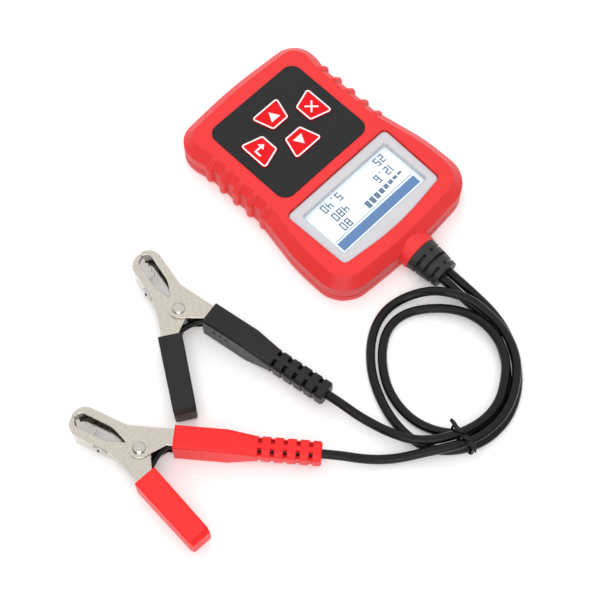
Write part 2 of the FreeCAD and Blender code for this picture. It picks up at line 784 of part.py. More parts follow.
def jaw_half(height, reach):
    """One stamped half: two cheeks with a lobe round the pivot and a web along the back."""
    metal = size("clip_metal")
    tip_y = size("jaw_tip_gap") / 2
    back = [
        on_handle(reach, handle_outer),
        Vector(size("jaw_waist"), size("jaw_half_width"), 0),
        Vector(size("jaw_reach"), size("jaw_half_width"), 0),
        Vector(size("jaw_reach"), tip_y, 0),
    ]
    bends = [0, 8, size("jaw_half_width") - 0.6, 0]
    inner = offset_run(back, metal)
    inner_bends = [0, 8 + metal, size("jaw_half_width") - 0.6 - metal, 0]
    web_corners = [(p.x, p.y, r) for p, r in zip(back, bends)]
    web_corners += [(p.x, p.y, r) for p, r in reversed(list(zip(inner, inner_bends)))]
    web = prism(web_corners, -height / 2, height / 2)
    throat = on_handle(size("handle_start") - 0.5, handle_inner)
    end = on_handle(reach, handle_inner)
    mouth_end = size("jaw_reach") - size("jaw_rim")
    cheek_corners = [(p.x, p.y, r) for p, r in zip(back, bends)] + [
        (mouth_end, tip_y, 0),
        (mouth_end - 1.2, size("jaw_mouth"), 3),
        (size("jaw_mouth_start") + 8, size("jaw_mouth"), 16),
        (size("jaw_mouth_start"), tip_y, 0),
        (0, tip_y, 0),
        (0.6 - size("jaw_lobe_radius"), tip_y + 0.6, 0),
        (throat.x, throat.y, 0),
        (end.x, end.y, 0),
    ]
    radius = size("jaw_lobe_radius")
    lean = math.acos(radius / size("jaw_mouth_start"))
    far_lean = math.atan2(throat.y, throat.x) + math.acos(radius / throat.Length)
    wedge_corners = [(0, tip_y, 0), (size("jaw_mouth_start"), tip_y, 0),
                     (radius * math.cos(lean), -radius * math.sin(lean), 0)]
    throat_corners = [(0, tip_y, 0), (throat.x, throat.y, 0),
                      (radius * math.cos(far_lean), radius * math.sin(far_lean), 0)]
    pieces = []
    for low in (-height / 2, height / 2 - metal):
        plate = prism(cheek_corners, low, low + metal)
        lobe = rod((0, 0, low), (0, 0, low + metal), radius)
        wedges = [prism(corners, low, low + metal) for corners in (wedge_corners, throat_corners)]
        pieces.append(plate.multiFuse([lobe] + wedges))
    return web.multiFuse(pieces).removeSplitter()


def flat_ring(width, height, radius):
    """A rounded rectangle standing across the handle, for lofting a sleeve."""
    wire = rounded_wire(rectangle(width, height, radius))
    wire.rotate(Vector(0, 0, 0), Vector(1, 0, 0), 90)
    wire.rotate(Vector(0, 0, 0), Vector(0, 0, 1), 90)
    return wire


def sleeve(stations):
    """A loft through rounded rectangles (along, width, height, radius) square to the handle."""
    wires = []
    for along, width, height, radius in stations:
        wire = flat_ring(width, height, radius)
        wire.translate(Vector(along, 0, 0))
        wires.append(wire)
    return Part.makeLoft(wires, True, True)


def to_handle(shape):
    """Moves a shape built along +X onto the moving handle's line."""
    turned = shape.copy()
    turned.rotate(Vector(0, 0, 0), Vector(0, 0, 1), 180 - size("handle_angle"))
    turned.translate(handle_out * handle_axis)
    return turned


def handle_hole(height, reach):
    """The hollow that a sleeve leaves for its handle."""
    fit = size("sleeve_fit")
    half_width = size("handle_width") / 2 + fit
    half_height = height / 2 + fit
    return block((0, -half_width, -half_height), (reach + fit, half_width, half_height))


def sleeve_marks(start, side):
    """Three raised finger marks on one side of a sleeve."""
    face_y = side * size("sleeve_width") / 2
    low_y, high_y = sorted((face_y - side * 0.3, face_y + side * size("mark_rise")))
    marks = []
    for step in range(3):
        along = start + size("mark_place") + step * size("mark_pitch")
        marks.append(block((along, low_y, -size("mark_length") / 2),
                           (along + size("mark_width"), high_y, size("mark_length") / 2)))
    return marks


def mirror(shape):
    """The other hand of a shape, across the clip's axis."""
    return shape.mirror(Vector(0, 0, 0), Vector(0, 1, 0))


def biarc(start, way_in, end, way_out):
    """Two arcs that leave start along way_in and reach end along way_out."""
    chord = end - start
    total = way_in + way_out
    spread = 2 * (1 - way_in.dot(way_out))
    along = chord.dot(total)
    reach = (-along + math.sqrt(along ** 2 + spread * chord.dot(chord))) / spread
    joint = (start + end) * 0.5 + (way_in - way_out) * (reach / 2)
    edges = []
    for first, way, last in ((start, way_in, joint), (end, way_out * -1, joint)):
        run = last - first
        side = run - way * run.dot(way)
        bend = run.dot(run) / (2 * side.Length)
        centre = first + side.normalize() * bend
        middle = centre + ((first + last) * 0.5 - centre).normalize() * bend
        arc = Part.Arc(first, middle, last) if first is start else Part.Arc(last, middle, first)
        edges.append(arc.toShape())
    return edges


def clip_spring():
    """A torsion spring on the pivot: close turns and a leg along the inside of each handle."""
    radius = size("spring_radius")
    wire = size("spring_wire")
    quarters = int(4 * size("spring_turns")) + 1
    rise = size("spring_pitch") / 4
    low = -rise * quarters / 2
    splay = math.radians(size("spring_splay"))
    web_inside = handle_outer - size("clip_metal") - wire / 2 - 0.1
    leg = (web_inside - radius * math.cos(splay)) / math.sin(splay)
    points = []
    ways = []
    first = math.pi / 2 - beta - splay
    sweep = 2 * math.pi * size("spring_turns") + 2 * first
    length = radius * sweep / quarters
    for step in range(quarters + 1):
        angle = first - sweep * step / quarters
        points.append(Vector(radius * math.cos(angle), radius * math.sin(angle), low + rise * step))
        climb = rise if 0 < step < quarters else 0
        ways.append(Vector(math.sin(angle) * length, -math.cos(angle) * length, climb).normalize())
    edges = [Part.LineSegment(points[0] - ways[0] * leg, points[0]).toShape()]
    for step in range(quarters):
        edges += biarc(points[step], ways[step], points[step + 1], ways[step + 1])
    edges.append(Part.LineSegment(points[-1], points[-1] + ways[-1] * leg).toShape())
    path = Part.Wire(edges)
    ring = Part.Wire([Part.makeCircle(wire / 2, points[0] - ways[0] * leg, ways[0])])
    coil = path.makePipeShell([ring], True, False)
    samples = path.discretize(400)
    gap = min(
        samples[i].distanceToPoint(samples[j])
        for i in range(len(samples))
        for j in range(i + 40, len(samples))
    ) - wire
    print("spring: least gap to itself %.2f" % gap)
    return coil


def pivot_rivet():
    """A rivet through both halves with a domed head outside each cheek."""
    half = size("clip_height") / 2
    shank = rod((0, 0, -half), (0, 0, half), size("rivet_radius"))
    heads = []
    rise = size("rivet_head_height")
    wide = size("rivet_head_radius")
    ball = (wide ** 2 + rise ** 2) / (2 * rise)
    for side in (-1, 1):
        dome = Part.makeSphere(ball, Vector(0, 0, side * (half + rise - ball)))
        low, high = sorted((side * half, side * (half + rise + 1)))
        heads.append(dome.common(block((-wide, -wide, low), (wide, wide, high))))
    return shank.multiFuse(heads).removeSplitter()


def contact_plate():
    """The insulated sensing contact: a flat back on the web and a toothed shelf in the mouth."""
    back_y = size("jaw_half_width") - size("clip_metal") - size("bush_flange")
    front_y = back_y - size("contact_metal")
    start = size("contact_place") - 2.5
    end = start + size("contact_length")
    half = size("contact_height") / 2
    plate = block((start, front_y, -half), (end - size("shelf_slant"), back_y, half))
    shelf_start = size("contact_place") + size("shelf_start")
    pitch = (end - shelf_start) / size("contact_teeth")
    tip_y = -size("contact_reach")
    root_y = tip_y + size("tooth_depth")
    edge = [(shelf_start, back_y, 0)]
    for tooth in range(int(size("contact_teeth"))):
        edge.append((shelf_start + tooth * pitch, root_y, 0))
        edge.append((shelf_start + (tooth + 0.5) * pitch, tip_y, 0))
    edge.append((end, root_y, 0))
    edge.append((end - size("shelf_slant"), back_y, 0))
    shelf = prism(edge, half - size("contact_metal"), half)
    bore = rod((size("contact_place"), 0, 0), (size("contact_place"), 9, 0),
               size("contact_rivet_radius"))
    return plate.fuse(shelf).cut(bore).removeSplitter()


def contact_bush():
    """A white insulating bush: a flange on each side of the web round the contact rivet."""
    outside = size("jaw_half_width")
    inside = outside - size("clip_metal")
    x = size("contact_place")
    outer = rod((x, outside, 0), (x, outside + size("bush_flange"), 0), size("bush_radius"))
    inner = rod((x, inside - size("bush_flange"), 0), (x, inside, 0), size("bush_radius") - 1)
    sleeve_part = rod((x, inside, 0), (x, outside, 0), size("contact_rivet_radius") + 0.6)
    bore = rod((x, 0, 0), (x, outside + 9, 0), size("contact_rivet_radius"))
    return outer.multiFuse([inner, sleeve_part]).cut(bore).removeSplitter()


def contact_rivet():
    """The rivet that holds the contact in its bush."""
    outside = size("jaw_half_width") + size("bush_flange")
    back_y = size("jaw_half_width") - size("clip_metal") - size("bush_flange")
    front_y = back_y - size("contact_metal")
    x = size("contact_place")
    radius = size("contact_rivet_radius")
    shank = rod((x, front_y, 0), (x, outside, 0), radius)
    head = Part.makeCone(size("contact_head_radius"), 0.6 * size("contact_head_radius"), 0.9,
                         Vector(x, outside, 0), Vector(0, 1, 0))
    button = rod((x, front_y - 0.5, 0), (x, front_y, 0), radius + 0.5)
    return shank.multiFuse([head, button]).removeSplitter()


def clip(kind):
    """All the pieces of one clip, laid on the table where it rests."""
    place = Placement(
        Vector(size(kind + "_clip_x"), size(kind + "_clip_y"), clip_rest),
        Rotation(Vector(0, 0, 1), size(kind + "_clip_angle")),
    )
    outer_height = size("clip_height")
    inner_height = outer_height - 2 * size("clip_metal") - 2 * size("clip_nest_gap")
    through = rod((0, 0, -20), (0, 0, 20), size("rivet_radius"))
    loose = rod((0, 0, -20), (0, 0, 20), size("rivet_radius") + size("rivet_clearance"))
    feature(kind + "_fixed_jaw", mirror(jaw_half(outer_height, boot_handle_end)).cut(through), place)
    bush_hole = rod((size("contact_place"), 0, 0), (size("contact_place"), 20, 0),
                    size("contact_rivet_radius") + 0.6)
    feature(kind + "_moving_jaw", jaw_half(inner_height, handle_end).cut([loose, bush_hole]), place)
    feature(kind + "_pivot_rivet", pivot_rivet(), place)
    feature(kind + "_spring", clip_spring(), place)
    feature(kind + "_contact_plate", contact_plate(), place)
    feature(kind + "_contact_bush", contact_bush(), place)
    feature(kind + "_contact_rivet", contact_rivet(), place)

    tall = size("sleeve_height")
    wide = size("sleeve_width")
    corner = size("sleeve_corner")
    grip_start = size(kind + "_grip_start")
    grip_end = grip_start + size("grip_length")
    end_wide = size("grip_end_width")
    end_tall = size("grip_end_height")
    grip = sleeve([(grip_start, wide, tall, corner),
                   (grip_end - size("grip_nose"), end_wide, end_tall, corner),
                   (grip_end, end_wide - 0.8, end_tall - size("grip_nose_drop"), corner)])
    grip = to_handle(grip.cut(handle_hole(inner_height, handle_end)))
    feature(kind + "_grip", grip, place)

    start = size(kind + "_boot_start")
    taper_start = start + size("boot_body_length")
    relief_start = taper_start + size("boot_taper_length")
    relief_end = relief_start + size("relief_length")
    relief = size("relief_width")
    grip_boot = sleeve([(start, wide, tall, corner), (taper_start, wide, tall, corner)])
    taper = sleeve([(taper_start, wide, tall, corner),
                    (relief_start, relief, relief, size("relief_corner"))])
    round_off = size("relief_round")
    relief_bar = sleeve([(relief_start, relief, relief, size("relief_corner")),
                         (relief_end - round_off, relief, relief, size("relief_corner")),
                         (relief_end, relief - 1.4 * round_off, relief - 1.4 * round_off,
                          size("relief_corner"))])
    grip_boot = grip_boot.multiFuse([taper, relief_bar] + sleeve_marks(start, 1))
    boot_holes = [
        handle_hole(outer_height, boot_handle_end),
        rod((0, 0, 0), (relief_end + 1, 0, 0), lead_radius + size("lead_clearance")),
    ]
    slot_inside = relief / 2 - size("relief_slot_depth")
    slot_outside = relief / 2 - size("relief_wall")
    groove = relief / 2 - size("relief_groove")
    for row in range(int(size("relief_rows"))):
        along = relief_start + size("relief_first") + row * size("relief_pitch")
        far = along + size("relief_slot")
        for side in (-1, 1):
            low, high = sorted((side * groove, side * relief))
            boot_holes.append(block((along, low, -relief), (far, high, relief)))
            for top in (-1, 1):
                for near, outer, depth in ((slot_inside, slot_outside, size("relief_slot_floor")),
                                           (slot_outside - 0.1, relief, size("relief_wall_height"))):
                    low, high = sorted((side * near, side * outer))
                    under, over = sorted((top * depth, top * relief))
                    boot_holes.append(block((along, low, under), (far, high, over)))
    grip_boot = to_handle(grip_boot.cut(boot_holes))
    feature(kind + "_clip_boot", mirror(grip_boot), place)
    tail = rod((boot_handle_end + 1, 0, 0), (relief_end, 0, 0), lead_radius)
    feature(kind + "_lead_end", mirror(to_handle(tail)), place)

    wire_route = [
        on_handle(size("handle_start") + 5, handle_axis - 0.4),
        on_handle(size("handle_start") - 1.2, handle_axis - 1.8),
    ]
    wire_points = [(p.x, -p.y, 0) for p in wire_route] + [(-7.2, -1.0, 0), (-7.6, 5.0, 0)]
    wire, _ = tube_along(wire_points, size("sense_wire_diameter") / 2, kind + "_sense_wire")
    feature(kind + "_sense_wire", wire, place)
    exit_point = on_handle(relief_end, handle_axis)
    local = Vector(exit_point.x, -exit_point.y, 0)
    return place.multVec(local), place.Rotation.multVec(Vector(handle_back.x, -handle_back.y, 0))


positive_end, positive_way = clip("positive")
negative_end, negative_way = clip("negative")

# Leads. Each leaves the boot, goes once round the tied loop on the table, passes the tie a second
# time on top of its first turn and runs out to its clip. Points are chosen by hand.
lead_exit_y = boot_end
floor_z = lead_radius + 0.2
upper_z = floor_z + size("lead_diameter") + 0.45
positive_route = [
    (-size("lead_spread"), lead_exit_y, collar_axis),
    (-size("lead_spread"), lead_exit_y + 5.5, collar_axis), (-2.9, 93.2, 6.2),
    (-3.6, 101.0, 3.7), (-3.4, 109.5, floor_z), (-0.8, 119.0, floor_z),
    (4.6, 129.0, floor_z), (12.0, 138.4, floor_z), (21.5, 145.2, floor_z), (32.0, 149.0, floor_z),
    (43.0, 149.4, floor_z + 0.4), (53.0, 146.8, floor_z + 0.9), (61.5, 141.0, floor_z + 0.4),
    (67.7, 133.5, floor_z), (70.2, 123.3, floor_z), (69.4, 112.0, floor_z), (65.9, 100.9, floor_z),
    (60.2, 90.3, floor_z), (52.2, 81.3, floor_z), (43.0, 74.8, floor_z), (33.0, 71.8, floor_z),
    (23.5, 72.8, floor_z + 0.3), (15.8, 77.0, 5.4), (10.2, 83.0, 9.2), (6.2, 90.2, 11.2),
    (2.2, 98.4, 10.6), (0.8, 107.0, 8.4), (1.0, 116.0, upper_z), (3.4, 124.8, upper_z),
    (8.4, 133.0, upper_z),
    (15.0, 139.2, upper_z), (24.6, 144.8, upper_z), (35.2, 147.5, upper_z),
    (46.2, 147.0, upper_z + 0.5), (55.7, 143.9, upper_z + 0.9), (64.0, 138.9, upper_z + 0.6),
    (72.0, 133.2, 6.4), (80.0, 127.4, 3.8), (87.2, 121.4, 3.6), (93.8, 114.7, 5.2),
    tuple(positive_end + positive_way * 8.5), tuple(positive_end),
]
negative_route = [
    (size("lead_spread"), lead_exit_y, collar_axis),
    (size("lead_spread"), lead_exit_y + 5.2, collar_axis), (2.2, 92.4, 6.2),
    (1.4, 99.6, 3.5), (1.4, 107.4, floor_z), (3.2, 115.6, floor_z),
    (7.2, 123.9, floor_z), (13.0, 132.0, floor_z), (20.6, 138.8, floor_z), (29.9, 143.2, floor_z),
    (39.6, 144.2, floor_z + 0.4), (48.8, 141.8, floor_z + 0.9), (55.6, 135.4, floor_z + 0.7),
    (60.1, 127.9, floor_z), (62.8, 119.1, floor_z), (62.5, 109.2, floor_z), (59.6, 99.7, floor_z),
    (54.1, 91.3, floor_z), (47.0, 84.2, floor_z), (38.8, 79.4, floor_z), (30.0, 78.6, floor_z),
    (22.2, 81.6, floor_z + 0.3), (15.2, 87.6, 4.0), (9.8, 95.2, 6.2), (6.3, 103.8, upper_z),
    (5.5, 113.2, upper_z), (7.8, 122.7, upper_z), (12.9, 130.8, upper_z), (20.8, 136.8, upper_z),
    (29.7, 141.4, upper_z), (40.1, 142.7, upper_z + 0.5), (50.0, 140.7, upper_z + 0.9),
    (58.7, 136.5, upper_z + 0.4), (66.1, 131.4, upper_z), (72.0, 124.6, upper_z), (75.8, 115.5, 6.2),
    (78.2, 106.8, 5.6), (80.2, 98.9, 6.4),
    tuple(negative_end + negative_way * 7.5), tuple(negative_end),
]
positive_lead, positive_path = tube_along(positive_route, lead_radius, "positive_lead")
negative_lead, negative_path = tube_along(negative_route, lead_radius, "negative_lead")
feature("positive_lead", positive_lead)
feature("negative_lead", negative_lead)


def print_gap(name, first, second, skip):
    """Prints the least clear distance between two tubes, or along one past a skipped length."""
    one = first.discretize(Distance=1.0)
    two = second.discretize(Distance=1.0)
    gap, index = min(
        (one[i].distanceToPoint(two[j]) - size("lead_diameter"), i)
        for i in range(len(one))
        for j in range(i + skip if skip else 0, len(two))
    )
    print("%s: least gap %.2f near %.0f, %.0f, %.0f" % (name, gap, *one[index]))


print_gap("positive lead to itself", positive_path, positive_path, 40)
print_gap("negative lead to itself", negative_path, negative_path, 40)
print_gap("lead to lead", positive_path, negative_path, 0)

# Tie: a flat strap round the four strands with its two ends twisted on top
tie_way = Vector(0.99, -0.14, 0).normalize()
tie_across = Vector(0.14, 0.99, 0).normalize()
tied = [positive_route[11], negative_route[11], positive_route[34], negative_route[31]]
tie_place = sum((Vector(x, y, 0) for x, y, z in tied), Vector()) * (1 / len(tied))
tie_place += tie_way * 2.9 - tie_across * 2.1
strap = size("tie_thickness")
tie_low = 0.1
tie_high = upper_z + 0.9 + lead_radius + 0.3 + strap
tie_half = 9.3
ring_outer = rectangle(2 * tie_half, tie_high - tie_low, 2.4)
ring_inner = rectangle(2 * (tie_half - strap), tie_high - tie_low - 2 * strap, 2.4 - strap)
ring = Part.Face(rounded_wire(ring_outer)).cut(Part.Face(rounded_wire(ring_inner)))
band = ring.extrude(Vector(0, 0, size("tie_width")))
rise = (tie_high - tie_low) / 2
knot = Vector(1.8, rise + 0.4, size("tie_width") / 2 - 0.6)
twist = rod((knot.x, rise, -1.2), (knot.x, rise + 0.6, size("tie_width") + 0.4), 1.0)
ends = []
for across, along in ((-11.3, -0.5), (8.0, 0.5)):
    tail = block((0, -strap / 2, -0.8), (math.hypot(across, along), strap / 2, 0.8))
    tail.rotate(Vector(0, 0, 0), Vector(0, 0, 1), 4)
    tail.rotate(Vector(0, 0, 0), Vector(0, 1, 0), -math.degrees(math.atan2(along, across)))
    tail.translate(knot)
    ends.append(tail)
tie = band.multiFuse([twist] + ends).removeSplitter()
tie.translate(Vector(0, (tie_high + tie_low) / 2, -size("tie_width") / 2))
frame_matrix = FreeCAD.Matrix(
    tie_across.x, 0, tie_way.x, tie_place.x,
    tie_across.y, 0, tie_way.y, tie_place.y,
    0, 1, 0, 0,
    0, 0, 0, 1,
)
feature("lead_tie", tie, Placement(frame_matrix))

doc.recompute()
faults = []
for item in doc.Objects:
    if "Invalid" in item.State or "Error" in item.State:
        faults.append("%s is %s" % (item.Label, item.State))
for item in nodes:
    if item.Shape.isNull() or not item.Shape.isValid():
        faults.append("%s has no valid shape" % item.Label)
if faults:
    raise RuntimeError("; ".join(faults))
os.makedirs("parts", exist_ok=True)
for item in nodes:
    item.Shape.exportStep("parts/%s.step" % item.Label)
print("%d sub-parts written" % len(nodes))
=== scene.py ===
import math

import bmesh
import bpy
from mathutils import Matrix, Vector


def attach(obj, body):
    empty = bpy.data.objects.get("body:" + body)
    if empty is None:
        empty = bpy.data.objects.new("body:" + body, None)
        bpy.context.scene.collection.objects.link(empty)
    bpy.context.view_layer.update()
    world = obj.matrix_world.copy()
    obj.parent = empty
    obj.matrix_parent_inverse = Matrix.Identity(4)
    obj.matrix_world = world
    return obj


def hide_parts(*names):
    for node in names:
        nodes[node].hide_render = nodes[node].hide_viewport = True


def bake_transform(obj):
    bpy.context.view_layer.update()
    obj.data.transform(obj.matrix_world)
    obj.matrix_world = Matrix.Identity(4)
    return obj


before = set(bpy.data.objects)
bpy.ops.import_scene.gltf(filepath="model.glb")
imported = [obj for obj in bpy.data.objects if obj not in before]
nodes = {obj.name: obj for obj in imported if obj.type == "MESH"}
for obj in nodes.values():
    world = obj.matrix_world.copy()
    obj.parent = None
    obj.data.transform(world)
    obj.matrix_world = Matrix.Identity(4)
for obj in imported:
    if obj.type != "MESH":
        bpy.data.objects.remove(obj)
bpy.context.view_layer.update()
scene = bpy.context.scene
scene.view_settings.view_transform = "Standard"

# Case: two red plastic mouldings that meet on a fine parting line and are held by four screws from behind.
# The mould leaves a fine stipple on the faces and a small radius on the edges.
# The grain group makes both, with a slow drift of tone. The other finishes use it with their own values.
grain = bpy.data.node_groups.new("surface_grain", "ShaderNodeTree")
for socket in ("Scale", "Depth", "Edge"):
    grain.interface.new_socket(socket, in_out="INPUT", socket_type="NodeSocketFloat")
grain.interface.new_socket("Normal", in_out="OUTPUT", socket_type="NodeSocketVector")
for socket in ("Tone", "Speckle"):
    grain.interface.new_socket(socket, in_out="OUTPUT", socket_type="NodeSocketFloat")
grain_in = grain.nodes.new("NodeGroupInput")
grain_out = grain.nodes.new("NodeGroupOutput")
grain_place = grain.nodes.new("ShaderNodeTexCoord")
stipple = grain.nodes.new("ShaderNodeTexNoise")
stipple.inputs["Detail"].default_value = 3
drift = grain.nodes.new("ShaderNodeTexNoise")
drift.inputs["Scale"].default_value = 45
soft_edge = grain.nodes.new("ShaderNodeBevel")
soft_edge.samples = 6
stipple_bump = grain.nodes.new("ShaderNodeBump")


def connect(tree, *pairs):
    """Links each source socket of a node tree to its target socket."""
    for source, target in pairs:
        tree.links.new(source, target)


connect(
    grain,
    (grain_place.outputs["Object"], stipple.inputs["Vector"]),
    (grain_place.outputs["Object"], drift.inputs["Vector"]),
    (grain_in.outputs["Scale"], stipple.inputs["Scale"]),
    (grain_in.outputs["Depth"], stipple_bump.inputs["Distance"]),
    (grain_in.outputs["Edge"], soft_edge.inputs["Radius"]),
    (stipple.outputs["Fac"], stipple_bump.inputs["Height"]),
    (soft_edge.outputs["Normal"], stipple_bump.inputs["Normal"]),
    (stipple_bump.outputs["Normal"], grain_out.inputs["Normal"]),
    (drift.outputs["Fac"], grain_out.inputs["Tone"]),
    (stipple.outputs["Fac"], grain_out.inputs["Speckle"]),
)
roughness_spread = 0.05


def finish(name, dark, light, roughness, grain_scale, grain_depth, edge_radius, metallic=0.0, specular=0.5):
    """A finish of two close tones, a roughness that follows them and the grain. Lengths are in metres."""
    material = bpy.data.materials.new(name)
    material.use_nodes = True
    tree = material.node_tree
    shader = tree.nodes["Principled BSDF"]
    shader.inputs["Metallic"].default_value = metallic
    shader.inputs["Specular IOR Level"].default_value = specular
    surface = tree.nodes.new("ShaderNodeGroup")
    surface.name = "grain"
    surface.node_tree = grain
    surface.inputs["Scale"].default_value = grain_scale
    surface.inputs["Depth"].default_value = grain_depth
    surface.inputs["Edge"].default_value = edge_radius
    tones = tree.nodes.new("ShaderNodeMix")
    tones.name = "tones"
    tones.data_type = "RGBA"
    tones.inputs["A"].default_value = (*dark, 1)
    tones.inputs["B"].default_value = (*light, 1)
    wear = tree.nodes.new("ShaderNodeMapRange")
    wear.inputs["From Min"].default_value = 0.3
    wear.inputs["From Max"].default_value = 0.7
    wear.inputs["To Min"].default_value = roughness - roughness_spread
    wear.inputs["To Max"].default_value = roughness + roughness_spread
    connect(
        tree,
        (surface.outputs["Tone"], tones.inputs["Factor"]),
        (surface.outputs["Tone"], wear.inputs["Value"]),
        (tones.outputs["Result"], shader.inputs["Base Color"]),
        (wear.outputs["Result"], shader.inputs["Roughness"]),
        (surface.outputs["Normal"], shader.inputs["Normal"]),
    )
    return material


def dress(material, *names):
    """Gives CAD nodes that keep their mesh their finish."""
    for name in names:
        nodes[name].data.materials.clear()
        nodes[name].data.materials.append(material)


case_red = finish(
    "case_red",
    dark=(0.80, 0.026, 0.028),
    light=(0.87, 0.036, 0.038),
    roughness=0.42,
    grain_scale=1100,
    grain_depth=0.00009,
    edge_radius=0.0007,
    specular=0.45,
)
dress(case_red, "front_shell", "rear_shell")
screw_zinc = finish(
    "screw_zinc",
    dark=(0.5, 0.5, 0.52),
    light=(0.6, 0.6, 0.62),
    roughness=0.35,
    grain_scale=900,
    grain_depth=0.00001,
    edge_radius=0.0001,
    metallic=1.0,
)
dress(screw_zinc, "case_screws")

# Keypad: a matt black sheet let into the face, with four moulded red keys that stand through it.
# Each key rests on the plunger of its switch, and is printed with a white border and a plain sign.
overlay_black = finish(
    "overlay_black",
    dark=(0.010, 0.010, 0.011),
    light=(0.013, 0.013, 0.014),
    roughness=0.5,
    grain_scale=3200,
    grain_depth=0.00002,
    edge_radius=0.0001,
    specular=0.32,
)
dress(overlay_black, "keypad_overlay")
key_red = finish(
    "key_red",
    dark=(0.77, 0.008, 0.012),
    light=(0.82, 0.010, 0.016),
    roughness=0.45,
    grain_scale=2600,
    grain_depth=0.00001,
    edge_radius=0.0002,
    specular=0.15,
)
key_white = finish(
    "key_white",
    dark=(0.86, 0.86, 0.88),
    light=(0.92, 0.92, 0.93),
    roughness=0.4,
    grain_scale=2600,
    grain_depth=0.00001,
    edge_radius=0.0,
)
switch_black = finish(
    "switch_black",
    dark=(0.03, 0.03, 0.03),
    light=(0.045, 0.045, 0.045),
    roughness=0.5,
    grain_scale=1500,
    grain_depth=0.00001,
    edge_radius=0.0001,
)
dress(switch_black, "tact_switches", "plunger_up", "plunger_esc", "plunger_down", "plunger_enter")
keypad_middle = Vector((0, -0.02575, 0))
key_top = 0.0180
key_long, key_short, key_depth = 0.0180, 0.0105, 0.0121
key_corner, least_corner, corner_steps = 0.0016, 0.0004, 6
print_lift, print_thick = 0.00004, 0.00005
border_margin, border_end = 0.0001, 0.0009


def key_outline(inset, near):
    """The rounded plan outline of a key, drawn in by an inset. Its short side lies at near."""
    slant = (key_long - key_short) / 2 / key_depth
    low = key_short / 2 - inset * (math.hypot(1, slant) - slant)
    high = key_long / 2 - inset * (math.hypot(1, slant) + slant)
    short_side = near + inset
    long_side = near + key_depth - inset
    corners = [
        Vector((-low, short_side)),
        Vector((low, short_side)),
        Vector((high, long_side)),
        Vector((-high, long_side)),
    ]
    radius = max(key_corner - inset, least_corner)
    points = []
    for index, corner in enumerate(corners):
        before = (corners[index - 1] - corner).normalized()
        after = (corners[(index + 1) % 4] - corner).normalized()
        half = before.angle(after) / 2
        centre = corner + (before + after).normalized() * (radius / math.sin(half))
        start = corner + before * (radius / math.tan(half)) - centre
        end = corner + after * (radius / math.tan(half)) - centre
        turn = start.angle_signed(end)
        for step in range(corner_steps + 1):
            points.append(centre + Matrix.Rotation(-turn * step / corner_steps, 2) @ start)
    return points


def outward_mesh(name, work):
    """Turns the faces outward and hands the worked mesh over."""
    bmesh.ops.recalc_face_normals(work, faces=work.faces)
    mesh = bpy.data.meshes.new(name)
    work.to_mesh(mesh)
    work.free()
    return mesh


def frame_mesh(name, loops):
    """A closed frame: the loops go once round its section, and each joins the next."""
    work = bmesh.new()
    rows = [[work.verts.new(point) for point in loop] for loop in loops]
    for row, here in enumerate(rows):
        there = rows[(row + 1) % len(rows)]
        for index in range(len(here)):
            following = (index + 1) % len(here)
            work.faces.new((here[index], here[following], there[following], there[index]))
    return outward_mesh(name, work)


def print_mesh(name, outlines):
    """Thin raised print: each closed outline is a top face, with walls down to a back face."""
    work = bmesh.new()
    for outline in outlines:
        top = [work.verts.new(point) for point in outline]
        low = [work.verts.new(Vector(point) - Vector((0, 0, print_thick))) for point in outline]
        work.faces.new(top)
        work.faces.new(list(reversed(low)))
        for index in range(len(top)):
            following = (index + 1) % len(top)
            work.faces.new((low[index], low[following], top[following], top[index]))
    return outward_mesh(name, work)


def add_piece(name, mesh, material, body):
    """Puts a mesh in the scene as a piece that moves with a body."""
    piece = bpy.data.objects.new(name, mesh)
    scene.collection.objects.link(piece)
    mesh.materials.append(material)
    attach(piece, body)
    return piece


def on_key(points, spin, height):
    """Plan points of a key's own frame, turned to its side of the keypad and set at a height."""
    return [spin @ Vector((x, y, 0)) + keypad_middle + Vector((0, 0, height)) for x, y in points]


arrow_half, arrow_foot, arrow_tip = 0.0029, 0.0073, 0.0125
arrow = [(-arrow_half, arrow_foot), (arrow_half, arrow_foot), (0, arrow_tip)]
half_stroke = 0.00045
cross_middle, cross_arm = Vector((0, 0.0174)), 0.0034
cross_quarter = [(half_stroke, cross_arm), (half_stroke, half_stroke), (cross_arm, half_stroke)]
cross = []
for quarter in range(4):
    quarter_spin = Matrix.Rotation(math.radians(45 - 90 * quarter), 2)
    cross += [cross_middle + quarter_spin @ Vector(point) for point in cross_quarter]
shaft, hook_end = 0.0012, -0.0024
return_tip, head_foot, return_turn, head_half = 0.0142, 0.0168, 0.0202, 0.0020
return_arrow = [
    (shaft, return_tip),
    (shaft + head_half, head_foot),
    (shaft + half_stroke, head_foot),
    (shaft + half_stroke, return_turn + half_stroke),
    (hook_end, return_turn + half_stroke),
    (hook_end, return_turn - half_stroke),
    (shaft - half_stroke, return_turn - half_stroke),
    (shaft - half_stroke, head_foot),
    (shaft - head_half, head_foot),
]
signs = {"up": arrow, "down": arrow, "esc": cross, "enter": return_arrow}
ends_near, sides_near = 0.00375, 0.01135
key_sides = (
    ("up", 0, ends_near),
    ("esc", 90, sides_near),
    ("down", 180, ends_near),
    ("enter", 270, sides_near),
)
print_top = key_top + print_lift
for key, turn, near in key_sides:
    dress(key_red, "key_" + key)
    spin = Matrix.Rotation(math.radians(turn), 3, "Z")
    outer = key_outline(border_margin, near)
    inner = key_outline(border_end, near)
    border_loops = [
        on_key(outer, spin, print_top - print_thick),
        on_key(outer, spin, print_top),
        on_key(inner, spin, print_top),
        on_key(inner, spin, print_top - print_thick),
    ]
    border = frame_mesh("key_border_" + key, border_loops)
    key_body = "key_%s_body" % key
    add_piece("key_border_" + key, border, key_white, key_body)
    sign = print_mesh("key_sign_" + key, [on_key(signs[key], spin, print_top)])
    add_piece("key_sign_" + key, sign, key_white, key_body)

